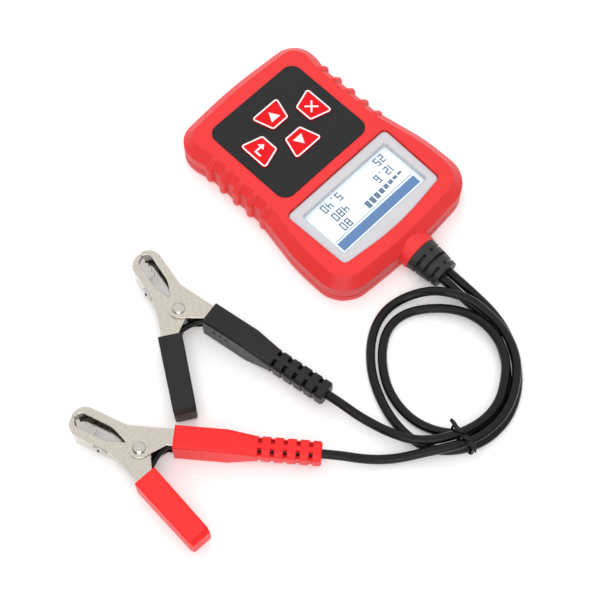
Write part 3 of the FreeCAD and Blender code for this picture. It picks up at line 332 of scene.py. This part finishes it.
# Display frame: a light grey plastic moulding pressed into the recess of the face.
# A thin grey liner behind it goes round the panel and closes the gap between the two.
bezel_grey = finish(
    "bezel_grey",
    dark=(0.60, 0.60, 0.63),
    light=(0.65, 0.65, 0.68),
    roughness=0.35,
    grain_scale=2000,
    grain_depth=0.000008,
    edge_radius=0.0004,
)
dress(bezel_grey, "lcd_bezel")
liner_middle = 0.02755
liner_half_wide, liner_half_tall, liner_wall = 0.02897, 0.01427, 0.00026
liner_low, liner_high = 0.01293, 0.01388


def liner_loop(inset, height):
    """The four corners of the liner, drawn in by an inset."""
    half_wide = liner_half_wide - inset
    half_tall = liner_half_tall - inset
    return [
        (-half_wide, liner_middle - half_tall, height),
        (half_wide, liner_middle - half_tall, height),
        (half_wide, liner_middle + half_tall, height),
        (-half_wide, liner_middle + half_tall, height),
    ]


liner_loops = [
    liner_loop(0, liner_low),
    liner_loop(0, liner_high),
    liner_loop(liner_wall, liner_high),
    liner_loop(liner_wall, liner_low),
]
add_piece("display_liner", frame_mesh("display_liner", liner_loops), bezel_grey, "tester")

# Display window: a clear polished plastic plate glued behind the frame.
# It shines on its outer faces only, so that the panel can be read from low angles too.
window = bpy.data.materials.new("window_clear")
window.use_nodes = True
window_tree = window.node_tree
window_tree.nodes.remove(window_tree.nodes["Principled BSDF"])
clear = window_tree.nodes.new("ShaderNodeBsdfTransparent")
shine = window_tree.nodes.new("ShaderNodeBsdfGlossy")
shine.inputs["Roughness"].default_value = 0.08
shine_share = window_tree.nodes.new("ShaderNodeFresnel")
shine_share.inputs["IOR"].default_value = 1.3
facing = window_tree.nodes.new("ShaderNodeNewGeometry")
outside = window_tree.nodes.new("ShaderNodeMath")
outside.operation = "SUBTRACT"
outside.inputs[0].default_value = 1.0
outside_share = window_tree.nodes.new("ShaderNodeMath")
outside_share.operation = "MULTIPLY"
window_mix = window_tree.nodes.new("ShaderNodeMixShader")
connect(
    window_tree,
    (facing.outputs["Backfacing"], outside.inputs[1]),
    (outside.outputs["Value"], outside_share.inputs[0]),
    (shine_share.outputs["Fac"], outside_share.inputs[1]),
    (outside_share.outputs["Value"], window_mix.inputs["Fac"]),
    (clear.outputs["BSDF"], window_mix.inputs[1]),
    (shine.outputs["BSDF"], window_mix.inputs[2]),
    (window_mix.outputs["Shader"], window_tree.nodes["Material Output"].inputs["Surface"]),
)
dress(window, "lcd_window")

# Display panel: a pale lit glass over a white light guide, held between the window and the board.
# It shows a blue bar with a thin line, plain figures and a row of level blocks. Their sizes are in dots.
panel_pale = finish(
    "panel_pale",
    dark=(0.76, 0.86, 0.94),
    light=(0.80, 0.89, 0.96),
    roughness=0.4,
    grain_scale=900,
    grain_depth=0.000002,
    edge_radius=0.0,
)
panel_shader = panel_pale.node_tree.nodes["Principled BSDF"]
panel_shader.inputs["Emission Color"].default_value = (0.86, 0.93, 1.0, 1)
panel_shader.inputs["Emission Strength"].default_value = 0.22
dress(panel_pale, "lcd_glass")
guide_white = finish(
    "light_guide_white",
    dark=(0.85, 0.85, 0.86),
    light=(0.9, 0.9, 0.9),
    roughness=0.4,
    grain_scale=900,
    grain_depth=0.00001,
    edge_radius=0.0001,
)
dress(guide_white, "lcd_backlight")
dot = 0.000414
panel_top = 0.01296
lit_left, lit_right = -0.0265, 0.0265
bar_low, bar_high = 0.03475, 0.03965
line_low, line_high = 0.03345, 0.03375


def panel_block(x_low, y_low, x_high, y_high):
    """The corners of a dark block on top of the panel."""
    corners = ((x_low, y_low), (x_high, y_low), (x_high, y_high), (x_low, y_high))
    return [(x, y, panel_top) for x, y in corners]


bar_blue = finish(
    "bar_blue",
    dark=(0.085, 0.19, 0.41),
    light=(0.10, 0.22, 0.44),
    roughness=0.5,
    grain_scale=900,
    grain_depth=0.000002,
    edge_radius=0.0,
)
full_wave, dots_per_wave = 0.314, 2
bar_tree = bar_blue.node_tree
bar_place = bar_tree.nodes.new("ShaderNodeTexCoord")
dot_lines = bar_tree.nodes.new("ShaderNodeTexWave")
dot_lines.bands_direction = "X"
dot_lines.inputs["Scale"].default_value = full_wave / dot / dots_per_wave
bar_tint = bar_tree.nodes.new("ShaderNodeMix")
bar_tint.data_type = "RGBA"
bar_tint.inputs["B"].default_value = (0.14, 0.27, 0.52, 1)
connect(
    bar_tree,
    (bar_place.outputs["Object"], dot_lines.inputs["Vector"]),
    (dot_lines.outputs["Fac"], bar_tint.inputs["Factor"]),
    (bar_tree.nodes["tones"].outputs["Result"], bar_tint.inputs["A"]),
    (bar_tint.outputs["Result"], bar_tree.nodes["Principled BSDF"].inputs["Base Color"]),
)
bar = print_mesh("display_bar", [panel_block(lit_left, bar_low, lit_right, bar_high)])
add_piece("display_bar", bar, bar_blue, "tester")
segment_slate = finish(
    "segment_slate",
    dark=(0.12, 0.18, 0.29),
    light=(0.15, 0.21, 0.32),
    roughness=0.5,
    grain_scale=900,
    grain_depth=0.000002,
    edge_radius=0.0,
)
segments = {
    "top": (0, 9.5, 6, 11),
    "high_right": (4.5, 5, 6, 11),
    "low_right": (4.5, 0, 6, 6),
    "foot": (0, 0, 6, 1.5),
    "low_left": (0, 0, 1.5, 6),
    "high_left": (0, 5, 1.5, 11),
    "middle": (0, 4.75, 6, 6.25),
    "point": (2, 0, 4, 1.9),
}
figures = {
    "0": ("top", "high_right", "low_right", "foot", "low_left", "high_left"),
    "1": ("high_right", "low_right"),
    "2": ("top", "high_right", "middle", "low_left", "foot"),
    "4": ("high_left", "middle", "high_right", "low_right"),
    "5": ("top", "high_left", "middle", "low_right", "foot"),
    "6": ("top", "high_left", "middle", "low_left", "foot", "low_right"),
    "8": ("top", "high_right", "low_right", "foot", "low_left", "high_left", "middle"),
    ".": ("point",),
}
figure_pitch = 8 * dot
left_column = -0.0240
top_row, middle_row, low_row = 0.0280, 0.0217, 0.0150
numbers = (
    ("80", 0.0128, top_row),
    ("12.6", left_column, middle_row),
    ("480", 0.0086, middle_row),
    ("25", left_column, low_row),
    ("5.40", 0.0062, low_row),
)
dark_blocks = [panel_block(lit_left, line_low, lit_right, line_high)]
for number, left, base in numbers:
    for place, figure in enumerate(number):
        corner = left + place * figure_pitch
        for segment in figures[figure]:
            low_x, low_y, high_x, high_y = (dot * value for value in segments[segment])
            dark_blocks.append(panel_block(corner + low_x, base + low_y, corner + high_x, base + high_y))
level_base, level_count, least_level, level_wide = 0.0284, 8, 3, 6
for level in range(level_count):
    corner = left_column + level * figure_pitch
    level_top = level_base + (least_level + level) * dot
    dark_blocks.append(panel_block(corner, level_base, corner + level_wide * dot, level_top))
display_figures = print_mesh("display_figures", dark_blocks)
add_piece("display_figures", display_figures, segment_slate, "tester")

# Board: a green laminate held on the screw posts, with a controller chip and three glazed load resistors.
# They are soldered to it, and none of it shows from outside.
board_green = finish(
    "board_green",
    dark=(0.02, 0.14, 0.06),
    light=(0.03, 0.18, 0.08),
    roughness=0.4,
    grain_scale=600,
    grain_depth=0.00001,
    edge_radius=0.0001,
)
dress(board_green, "main_board")
dress(switch_black, "microcontroller")
resistor_glaze = finish(
    "resistor_glaze",
    dark=(0.35, 0.5, 0.58),
    light=(0.42, 0.56, 0.62),
    roughness=0.4,
    grain_scale=700,
    grain_depth=0.00001,
    edge_radius=0.0001,
)
dress(resistor_glaze, "load_resistors")

# Cable boot: soft black vinyl with ring slots, moulded over both lead ends and held in the case's collar.
# The slots let it bend with the leads.
rubber_black = finish(
    "rubber_black",
    dark=(0.014, 0.014, 0.014),
    light=(0.020, 0.020, 0.020),
    roughness=0.42,
    grain_scale=2200,
    grain_depth=0.00002,
    edge_radius=0.0003,
    specular=0.45,
)
dress(rubber_black, "cable_boot", "lead_tails")

# Clip jaws: two folded stampings of nickel-plated steel on a pivot rivet, with a toothed contact plate.
# A white bush and a rivet hold the plate off the moving jaw.
# The plating is pitted. Painted shade darkens it down in the folds, and a painted highlight brightens the
# rims.
nickel = finish(
    "nickel_plate",
    dark=(0.59, 0.545, 0.48),
    light=(0.71, 0.655, 0.58),
    roughness=0.18,
    grain_scale=1900,
    grain_depth=0.00004,
    edge_radius=0.0009,
    metallic=1.0,
)
nickel_tree = nickel.node_tree
pits = nickel_tree.nodes.new("ShaderNodeMapRange")
pits.inputs["From Min"].default_value = 0.38
pits.inputs["From Max"].default_value = 0.62
# Painted shade: ambient occlusion within each part mixes the base colour towards a near-black brown down in
# the folds and channels of the jaws.
fold = nickel_tree.nodes.new("ShaderNodeAmbientOcclusion")
fold.only_local = True
fold.samples = 8
fold.inputs["Distance"].default_value = 0.007
fold_depth = nickel_tree.nodes.new("ShaderNodeMapRange")
fold_depth.inputs["From Min"].default_value = 0.45
fold_depth.inputs["From Max"].default_value = 0.9
painted_fold_shade = nickel_tree.nodes.new("ShaderNodeMix")
painted_fold_shade.data_type = "RGBA"
painted_fold_shade.inputs["A"].default_value = (0.05, 0.042, 0.036, 1)
# Painted highlight: a pale rim colour is mixed in where the bevel normal turns away from the face normal,
# along the edges of the jaws.
rim_normal = nickel_tree.nodes.new("ShaderNodeBevel")
rim_normal.samples = 6
rim_normal.inputs["Radius"].default_value = 0.0009
face_normal = nickel_tree.nodes.new("ShaderNodeNewGeometry")
rim_turn = nickel_tree.nodes.new("ShaderNodeVectorMath")
rim_turn.operation = "DOT_PRODUCT"
rim_mask = nickel_tree.nodes.new("ShaderNodeMapRange")
rim_mask.inputs["From Min"].default_value = 0.99
rim_mask.inputs["From Max"].default_value = 0.94
painted_rim_highlight = nickel_tree.nodes.new("ShaderNodeMix")
painted_rim_highlight.data_type = "RGBA"
painted_rim_highlight.inputs["B"].default_value = (0.82, 0.79, 0.75, 1)
connect(
    nickel_tree,
    (rim_normal.outputs["Normal"], rim_turn.inputs[0]),
    (face_normal.outputs["True Normal"], rim_turn.inputs[1]),
    (rim_turn.outputs["Value"], rim_mask.inputs["Value"]),
    (rim_mask.outputs["Result"], painted_rim_highlight.inputs["Factor"]),
    (nickel_tree.nodes["grain"].outputs["Speckle"], pits.inputs["Value"]),
    (pits.outputs["Result"], nickel_tree.nodes["tones"].inputs["Factor"]),
    (fold.outputs["AO"], fold_depth.inputs["Value"]),
    (fold_depth.outputs["Result"], painted_fold_shade.inputs["Factor"]),
    (nickel_tree.nodes["tones"].outputs["Result"], painted_rim_highlight.inputs["A"]),
    (painted_rim_highlight.outputs["Result"], painted_fold_shade.inputs["B"]),
    (painted_fold_shade.outputs["Result"], nickel_tree.nodes["Principled BSDF"].inputs["Base Color"]),
)
contact_nickel = finish(
    "contact_nickel",
    dark=(0.42, 0.40, 0.37),
    light=(0.74, 0.71, 0.67),
    roughness=0.12,
    grain_scale=420,
    grain_depth=0.00022,
    edge_radius=0.0004,
    metallic=1.0,
)
rivet_nickel = finish(
    "rivet_nickel",
    dark=(0.56, 0.53, 0.49),
    light=(0.66, 0.63, 0.59),
    roughness=0.12,
    grain_scale=900,
    grain_depth=0.00002,
    edge_radius=0.0003,
    metallic=1.0,
)
bush_white = finish(
    "bush_white",
    dark=(0.66, 0.66, 0.65),
    light=(0.72, 0.72, 0.71),
    roughness=0.45,
    grain_scale=1500,
    grain_depth=0.00001,
    edge_radius=0.0002,
)
for clip in ("positive", "negative"):
    dress(nickel, clip + "_fixed_jaw", clip + "_moving_jaw")
    dress(contact_nickel, clip + "_contact_plate")
    dress(rivet_nickel, clip + "_pivot_rivet", clip + "_contact_rivet")
    dress(bush_white, clip + "_contact_bush")

# Clip sleeves: soft vinyl mouldings pushed over the handles, red on one clip and black on the other.
# The one on the fixed handle also grips the end of the lead.
sleeve_red = finish(
    "sleeve_red",
    dark=(0.90, 0.016, 0.017),
    light=(0.96, 0.022, 0.023),
    roughness=0.40,
    grain_scale=1800,
    grain_depth=0.00002,
    edge_radius=0.0005,
    specular=0.35,
)
sleeve_black = finish(
    "sleeve_black",
    dark=(0.006, 0.006, 0.006),
    light=(0.010, 0.010, 0.010),
    roughness=0.42,
    grain_scale=1800,
    grain_depth=0.00005,
    edge_radius=0.0005,
    specular=0.38,
)
dress(sleeve_red, "positive_grip", "positive_clip_boot")
dress(sleeve_black, "negative_grip", "negative_clip_boot")
dress(rubber_black, "positive_lead_end", "negative_lead_end")

# Clip springs and jumper wires: a steel torsion spring round each pivot rivet and a short black wire past it.
# Each has one end on the fixed jaw and the other on the moving jaw.
spring_steel = finish(
    "spring_steel",
    dark=(0.45, 0.45, 0.45),
    light=(0.55, 0.55, 0.55),
    roughness=0.25,
    grain_scale=900,
    grain_depth=0.00001,
    edge_radius=0.0001,
    metallic=1.0,
)
jacket_black = finish(
    "lead_jacket",
    dark=(0.003, 0.003, 0.003),
    light=(0.005, 0.005, 0.005),
    roughness=0.24,
    grain_scale=1500,
    grain_depth=0.00001,
    edge_radius=0.0,
    specular=0.28,
)
pivot_height = 0.0077
pivots = {"positive": ((0.16185, 0.04305), 288.5), "negative": ((0.1028, 0.0059), 258.6)}
jumper_diameter = 0.0030
jumper_route = (
    (-0.01395, -0.01187, 0),
    (-0.00867, -0.00832, 0),
    (-0.0072, -0.0010, 0),
    (-0.0076, 0.0050, 0),
)


def cord_curve(name, route, diameter):
    """A round cord along a smooth spline, closed at both ends."""
    curve = bpy.data.curves.new(name, "CURVE")
    curve.dimensions = "3D"
    spline = curve.splines.new("NURBS")
    spline.points.add(len(route) - 1)
    for point, place in zip(spline.points, route):
        point.co = (*place, 1)
    spline.order_u = 3
    spline.use_endpoint_u = True
    spline.resolution_u = 8
    curve.bevel_depth = diameter / 2
    curve.bevel_resolution = 6
    curve.use_fill_caps = True
    return curve


def add_flexing(name, mesh, material, replaced):
    """Adds a piece in place of a CAD part of a clip, and hides that part."""
    piece = bpy.data.objects.new(name, mesh)
    scene.collection.objects.link(piece)
    mesh.materials.clear()
    mesh.materials.append(material)
    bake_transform(piece)
    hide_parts(replaced)
    return piece


for clip, (pivot, turn) in pivots.items():
    origin = Vector((*pivot, pivot_height))
    spin = Matrix.Rotation(math.radians(turn), 3, "Z")
    spring_mesh = nodes[clip + "_spring"].data.copy()
    spring = add_flexing(
        clip + "_spring_flex", spring_mesh, spring_steel, clip + "_spring"
    )
    jumper_name = clip + "_sense_wire_flex"
    jumper_places = [origin + spin @ Vector(place) for place in jumper_route]
    jumper_curve = cord_curve(jumper_name, jumper_places, jumper_diameter)
    jumper_line = bpy.data.objects.new(jumper_name + "_line", jumper_curve)
    jumper_mesh = bpy.data.meshes.new_from_object(jumper_line)
    bpy.data.objects.remove(jumper_line)
    jumper = add_flexing(
        jumper_name, jumper_mesh, jacket_black, clip + "_sense_wire"
    )

# Tie: a thin black plastic strip drawn round all four strands of the looped leads.
# Its two ends are twisted over each other on top and stick out flat.
tie_black = finish(
    "tie_black",
    dark=(0.006, 0.006, 0.006),
    light=(0.010, 0.010, 0.010),
    roughness=0.4,
    grain_scale=1500,
    grain_depth=0.00001,
    edge_radius=0.0,
    specular=0.3,
)
tie_middle = Vector((0.05445, 0.14082, 0))
tie_across = Vector((0.14, 0.99, 0))
tie_along = Vector((0.99, -0.14, 0))
upward = Vector((0, 0, 1))
hoop_bend, hoop_half_wide, hoop_half_thick = 0.0026, 0.0009, 0.00035
hoop_corners = ((0.0053, 0.0079), (-0.0041, 0.0079), (-0.0041, 0.0030), (0.0053, 0.0030))
hoop_steps = 7
strip_sides = 12
tie_work = bmesh.new()


def tie_strip(places, wides, thicks, closed):
    """A flat strip with round edges through places, with half-width and half-thickness arrows at each."""
    rings = []
    turns = [math.tau * step / strip_sides for step in range(strip_sides)]
    for place, wide, thick in zip(places, wides, thicks):
        points = [place + wide * math.cos(turn) + thick * math.sin(turn) for turn in turns]
        rings.append([tie_work.verts.new(point) for point in points])
    for index in range(len(rings) if closed else len(rings) - 1):
        here = rings[index]
        there = rings[(index + 1) % len(rings)]
        for step in range(strip_sides):
            following = (step + 1) % strip_sides
            tie_work.faces.new((here[step], here[following], there[following], there[step]))
    if not closed:
        tie_work.faces.new(list(reversed(rings[0])))
        tie_work.faces.new(rings[-1])


hoop_places = []
hoop_thicks = []
for quarter, (across, height) in enumerate(hoop_corners):
    for step in range(hoop_steps + 1):
        turn = math.pi / 2 * (quarter + step / hoop_steps)
        arm = tie_across * math.cos(turn) + upward * math.sin(turn)
        hoop_places.append(tie_middle + tie_across * across + upward * height + arm * hoop_bend)
        hoop_thicks.append(arm * hoop_half_thick)
tie_strip(hoop_places, [tie_along * hoop_half_wide] * len(hoop_places), hoop_thicks, True)
fork = Vector((0.0542, 0.1364, 0.0113))
crest = Vector((0.0553, 0.1474, 0.0113))
twist_way = (crest - fork).normalized()
twist_side = twist_way.cross(upward).normalized()
twist_turns, twist_radius, twist_flatness = 1.25, 0.0010, 0.8
ply_half_wide, foot_half_wide, ply_half_thick, tail_rise = 0.00115, 0.0008, 0.00055, 0.0005
tail_steps, twist_steps, foot_steps = 6, 20, 4
first_tip, first_foot = Vector((0.0527, 0.1317, 0.0100)), Vector((0.0557, 0.1484, 0.0096))
second_tip, second_foot = Vector((0.0563, 0.1504, 0.0094)), Vector((0.0539, 0.1344, 0.0096))
plies = (
    (fork, crest, first_tip, first_foot, (0.75, 0.8, 0.85, 0.9)),
    (crest, fork, second_tip, second_foot, (0.3, 0.5, 0.7, 0.85)),
)
for ply, (near, far, tip, foot, taper) in enumerate(plies):
    line = []
    for step in range(tail_steps):
        rise = upward * tail_rise * math.sin(math.pi * step / tail_steps)
        line.append((tip.lerp(near, step / tail_steps) + rise, 0.0))
    for step in range(twist_steps + 1):
        line.append((near.lerp(far, step / twist_steps), step / twist_steps))
    for step in range(1, foot_steps + 1):
        line.append((far.lerp(foot, step / foot_steps), 1.0))
    places = []
    wides = []
    thicks = []
    for place, share in line:
        turn = math.pi * ply + math.tau * twist_turns * (share if ply == 0 else 1 - share)
        lean = math.sin(math.pi * share)
        arm = twist_side * math.cos(turn) + upward * math.sin(turn) * twist_flatness
        turned = twist_side * math.sin(turn) - upward * math.cos(turn)
        face = (twist_side * (1 - lean) + turned * lean).normalized()
        places.append(place + arm * twist_radius * math.sqrt(lean))
        wides.append(face * (ply_half_wide if share < 1 else foot_half_wide))
        thicks.append(face.cross(twist_way) * ply_half_thick)
    for index, tail_share in enumerate(taper):
        wides[index] = wides[index] * tail_share
    tie_strip(places, wides, thicks, False)
tie_easing = 0.35
bmesh.ops.smooth_vert(
    tie_work, verts=tie_work.verts, factor=tie_easing, use_axis_x=True, use_axis_y=True, use_axis_z=True
)
for face in tie_work.faces:
    face.smooth = True
tie = add_piece("twist_tie", outward_mesh("twist_tie", tie_work), tie_black, "tester")
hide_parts("lead_tie")

# Leads: two round copper leads in smooth black vinyl jackets, each held in the boot of a clip at its far end.
# Each goes once round the tied loop and passes the tie twice before it runs out. Places are in millimetres.
positive_route = [
    (-2.45, 80.7, 7.65), (-2.45, 86.2, 7.65), (-2.9, 93.2, 6.2), (-3.6, 101, 3.7), (-3.4, 109.5, 2.4),
    (-0.8, 119, 2.4), (4.6, 129, 2.4), (12, 138.4, 2.4), (21.5, 145.2, 2.4), (32, 149, 2.4),
    (43, 149.4, 2.8), (53, 146.8, 3.3), (61.5, 141, 2.8), (67.7, 133.5, 2.4), (70.2, 123.3, 2.4),
    (69.4, 112, 2.4), (65.9, 100.9, 2.4), (60.2, 90.3, 2.4), (52.2, 81.3, 2.4), (43, 74.8, 2.4),
    (33, 71.8, 2.4), (23.5, 72.8, 2.7), (15.8, 77, 5.4), (10.2, 83, 9.2), (6.2, 90.2, 11.2),
    (2.2, 98.4, 10.6), (0.8, 107, 8.4), (1, 116, 7.25), (3.4, 124.8, 7.25), (8.4, 133, 7.25),
    (15, 139.2, 7.25), (24.6, 144.8, 7.25), (35.2, 147.5, 7.25), (46.2, 147, 7.75), (55.7, 143.9, 8.15),
    (64, 138.9, 7.85), (72, 133.2, 6.4), (80, 127.4, 3.8), (87.2, 121.4, 3.6), (93.8, 114.7, 5.2),
    (99.5, 107.99, 7.7), (104.94, 101.46, 7.7),
]
negative_route = [
    (2.45, 80.7, 7.65), (2.45, 85.9, 7.65), (2.2, 92.4, 6.2), (1.4, 99.6, 3.5), (1.4, 107.4, 2.4),
    (3.2, 115.6, 2.4), (7.2, 123.9, 2.4), (13, 132, 2.4), (20.6, 138.8, 2.4), (29.9, 143.2, 2.4),
    (39.6, 144.2, 2.8), (48.8, 141.8, 3.3), (55.6, 135.4, 3.1), (60.1, 127.9, 2.4), (62.8, 119.1, 2.4),
    (62.5, 109.2, 2.4), (59.6, 99.7, 2.4), (54.1, 91.3, 2.4), (47, 84.2, 2.4), (38.8, 79.4, 2.4),
    (30, 78.6, 2.4), (22.2, 81.6, 2.7), (15.2, 87.6, 4), (9.8, 95.2, 6.2), (6.3, 103.8, 7.25),
    (5.5, 113.2, 7.25), (7.8, 122.7, 7.25), (12.9, 130.8, 7.25), (20.8, 136.8, 7.25),
    (29.7, 141.4, 7.25), (40.1, 142.7, 7.75), (50, 140.7, 8.15), (58.7, 136.5, 7.65),
    (66.1, 131.4, 7.25), (72, 124.6, 7.25), (75.8, 115.5, 6.2), (78.2, 106.8, 5.6), (80.2, 98.9, 6.4),
    (81.58, 90.62, 7.7), (82.87, 83.23, 7.7),
]
millimetres_per_metre = 1000
lead_diameter = 0.0044
shared_pieces = [tie, nodes["cable_boot"], nodes["lead_tails"]]
lead_list = (
    ("positive", positive_route, 0.405, shared_pieces),
    ("negative", negative_route, 0.355, []),
)
for clip, route, length, held in lead_list:
    places = [Vector(place) / millimetres_per_metre for place in route]
    lead_curve = cord_curve(clip + "_cord", places, lead_diameter)
    lead_curve.materials.append(jacket_black)
    lead = bpy.data.objects.new(clip + "_cord", lead_curve)
    scene.collection.objects.link(lead)
    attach(lead, "tester")
    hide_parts(clip + "_lead")

# Floor: a white paper sheet that the whole set lies on, for the picture only.
# It is lifted to white for the eye and in reflections, more so further out, and keeps soft shadows near by.
floor_reach = 3
floor_corners = [
    (-floor_reach, -floor_reach, 0), (floor_reach, -floor_reach, 0),
    (floor_reach, floor_reach, 0), (-floor_reach, floor_reach, 0),
]
floor_mesh = bpy.data.meshes.new("floor")
floor_mesh.from_pydata(floor_corners, [], [(0, 1, 2, 3)])
floor = bpy.data.objects.new("floor", floor_mesh)
scene.collection.objects.link(floor)
floor_white = bpy.data.materials.new("floor_white")
floor_white.use_nodes = True
floor_mesh.materials.append(floor_white)
floor_tree = floor_white.node_tree
floor_shader = floor_tree.nodes["Principled BSDF"]
floor_shader.inputs["Base Color"].default_value = (0.92, 0.92, 0.92, 1)
floor_shader.inputs["Roughness"].default_value = 0.7
floor_shader.inputs["Specular IOR Level"].default_value = 0.1
floor_shader.inputs["Emission Color"].default_value = (1, 1, 1, 1)
floor_place = floor_tree.nodes.new("ShaderNodeTexCoord")
floor_distance = floor_tree.nodes.new("ShaderNodeVectorMath")
floor_distance.operation = "LENGTH"
floor_fade = floor_tree.nodes.new("ShaderNodeMapRange")
floor_fade.inputs["From Min"].default_value = 0.4
floor_fade.inputs["From Max"].default_value = 1.2
floor_fade.inputs["To Min"].default_value = 0.2
floor_fade.inputs["To Max"].default_value = 1.0
floor_rays = floor_tree.nodes.new("ShaderNodeLightPath")
floor_mirrored = floor_tree.nodes.new("ShaderNodeMath")
floor_mirrored.operation = "ADD"
floor_seen = floor_tree.nodes.new("ShaderNodeMath")
floor_seen.operation = "ADD"
floor_lift = floor_tree.nodes.new("ShaderNodeMath")
floor_lift.operation = "MULTIPLY"
connect(
    floor_tree,
    (floor_place.outputs["Object"], floor_distance.inputs[0]),
    (floor_distance.outputs["Value"], floor_fade.inputs["Value"]),
    (floor_rays.outputs["Is Glossy Ray"], floor_mirrored.inputs[0]),
    (floor_rays.outputs["Is Transmission Ray"], floor_mirrored.inputs[1]),
    (floor_rays.outputs["Is Camera Ray"], floor_seen.inputs[0]),
    (floor_mirrored.outputs["Value"], floor_seen.inputs[1]),
    (floor_seen.outputs["Value"], floor_lift.inputs[0]),
    (floor_fade.outputs["Result"], floor_lift.inputs[1]),
    (floor_lift.outputs["Value"], floor_shader.inputs["Emission Strength"]),
)

# Lamps and room: three large soft lamps in a white room that is darker low down on the near side.
# Two of the lamps stay out of reflections, so that the metal shows the room's slow change of tone.
lamp_target = Vector((0.06, 0.04, 0))
for name, place, side, power, mirrored in (
    ("key_light", (-0.38, -0.76, 1.15), 1.0, 6.2, False),
    ("top_light", (0.25, 0.25, 1.4), 1.2, 7.5, False),
    ("front_light", (0.75, 0.65, 0.55), 0.9, 4.0, True),
):
    lamp_data = bpy.data.lights.new(name, "AREA")
    lamp_data.size = side
    lamp_data.energy = power
    lamp = bpy.data.objects.new(name, lamp_data)
    lamp.location = place
    lamp.rotation_euler = (lamp_target - Vector(place)).to_track_quat("-Z", "Y").to_euler()
    lamp.visible_glossy = mirrored
    scene.collection.objects.link(lamp)
room = bpy.data.worlds.new("white_room")
room.use_nodes = True
scene.world = room
room_tree = room.node_tree
room_light = room_tree.nodes["Background"]
room_light.inputs["Strength"].default_value = 0.55
room_mirrored = room_tree.nodes.new("ShaderNodeBackground")
room_mirrored.inputs["Strength"].default_value = 1.0
room_seen = room_tree.nodes.new("ShaderNodeBackground")
room_seen.inputs["Color"].default_value = (1, 1, 1, 1)
room_place = room_tree.nodes.new("ShaderNodeTexCoord")
room_height = room_tree.nodes.new("ShaderNodeVectorMath")
room_height.operation = "DOT_PRODUCT"
room_height.inputs[1].default_value = (-0.35, -0.35, 1.0)
room_walls = room_tree.nodes.new("ShaderNodeValToRGB")
room_walls.color_ramp.elements[0].position = 0.05
room_walls.color_ramp.elements[0].color = (0.12, 0.12, 0.13, 1)
room_walls.color_ramp.elements[1].position = 0.42
room_walls.color_ramp.elements[1].color = (1, 1, 1, 1)
room_rays = room_tree.nodes.new("ShaderNodeLightPath")
room_either = room_tree.nodes.new("ShaderNodeMath")
room_either.operation = "MAXIMUM"
mirrored_mix = room_tree.nodes.new("ShaderNodeMixShader")
seen_mix = room_tree.nodes.new("ShaderNodeMixShader")
connect(
    room_tree,
    (room_place.outputs["Generated"], room_height.inputs[0]),
    (room_height.outputs["Value"], room_walls.inputs["Fac"]),
    (room_walls.outputs["Color"], room_light.inputs["Color"]),
    (room_walls.outputs["Color"], room_mirrored.inputs["Color"]),
    (room_rays.outputs["Is Glossy Ray"], room_either.inputs[0]),
    (room_rays.outputs["Is Transmission Ray"], room_either.inputs[1]),
    (room_either.outputs["Value"], mirrored_mix.inputs["Fac"]),
    (room_light.outputs["Background"], mirrored_mix.inputs[1]),
    (room_mirrored.outputs["Background"], mirrored_mix.inputs[2]),
    (room_rays.outputs["Is Camera Ray"], seen_mix.inputs["Fac"]),
    (mirrored_mix.outputs["Shader"], seen_mix.inputs[1]),
    (room_seen.outputs["Background"], seen_mix.inputs[2]),
    (seen_mix.outputs["Shader"], room_tree.nodes["World Output"].inputs["Surface"]),
)

# Camera: it stands off the corner by the clips and looks down on the whole set.
# Its place was worked out from the straight edges of the case.
look_at = Vector((0.06104, 0.04408, 0.0173))
camera_azimuth = math.radians(134.769)
camera_elevation = math.radians(65.527)
camera_distance = 0.65146
camera_back = Vector((
    math.sin(camera_azimuth) * math.cos(camera_elevation),
    -math.cos(camera_azimuth) * math.cos(camera_elevation),
    math.sin(camera_elevation),
))
camera_data = bpy.data.cameras.new("camera")
camera_data.lens = 84.26
camera_data.sensor_width = 36
camera_data.dof.use_dof = False
camera = bpy.data.objects.new("camera", camera_data)
camera.rotation_euler = (-camera_back).to_track_quat("-Z", "Y").to_euler()
camera.location = look_at + camera_back * camera_distance
scene.collection.objects.link(camera)
scene.camera = camera
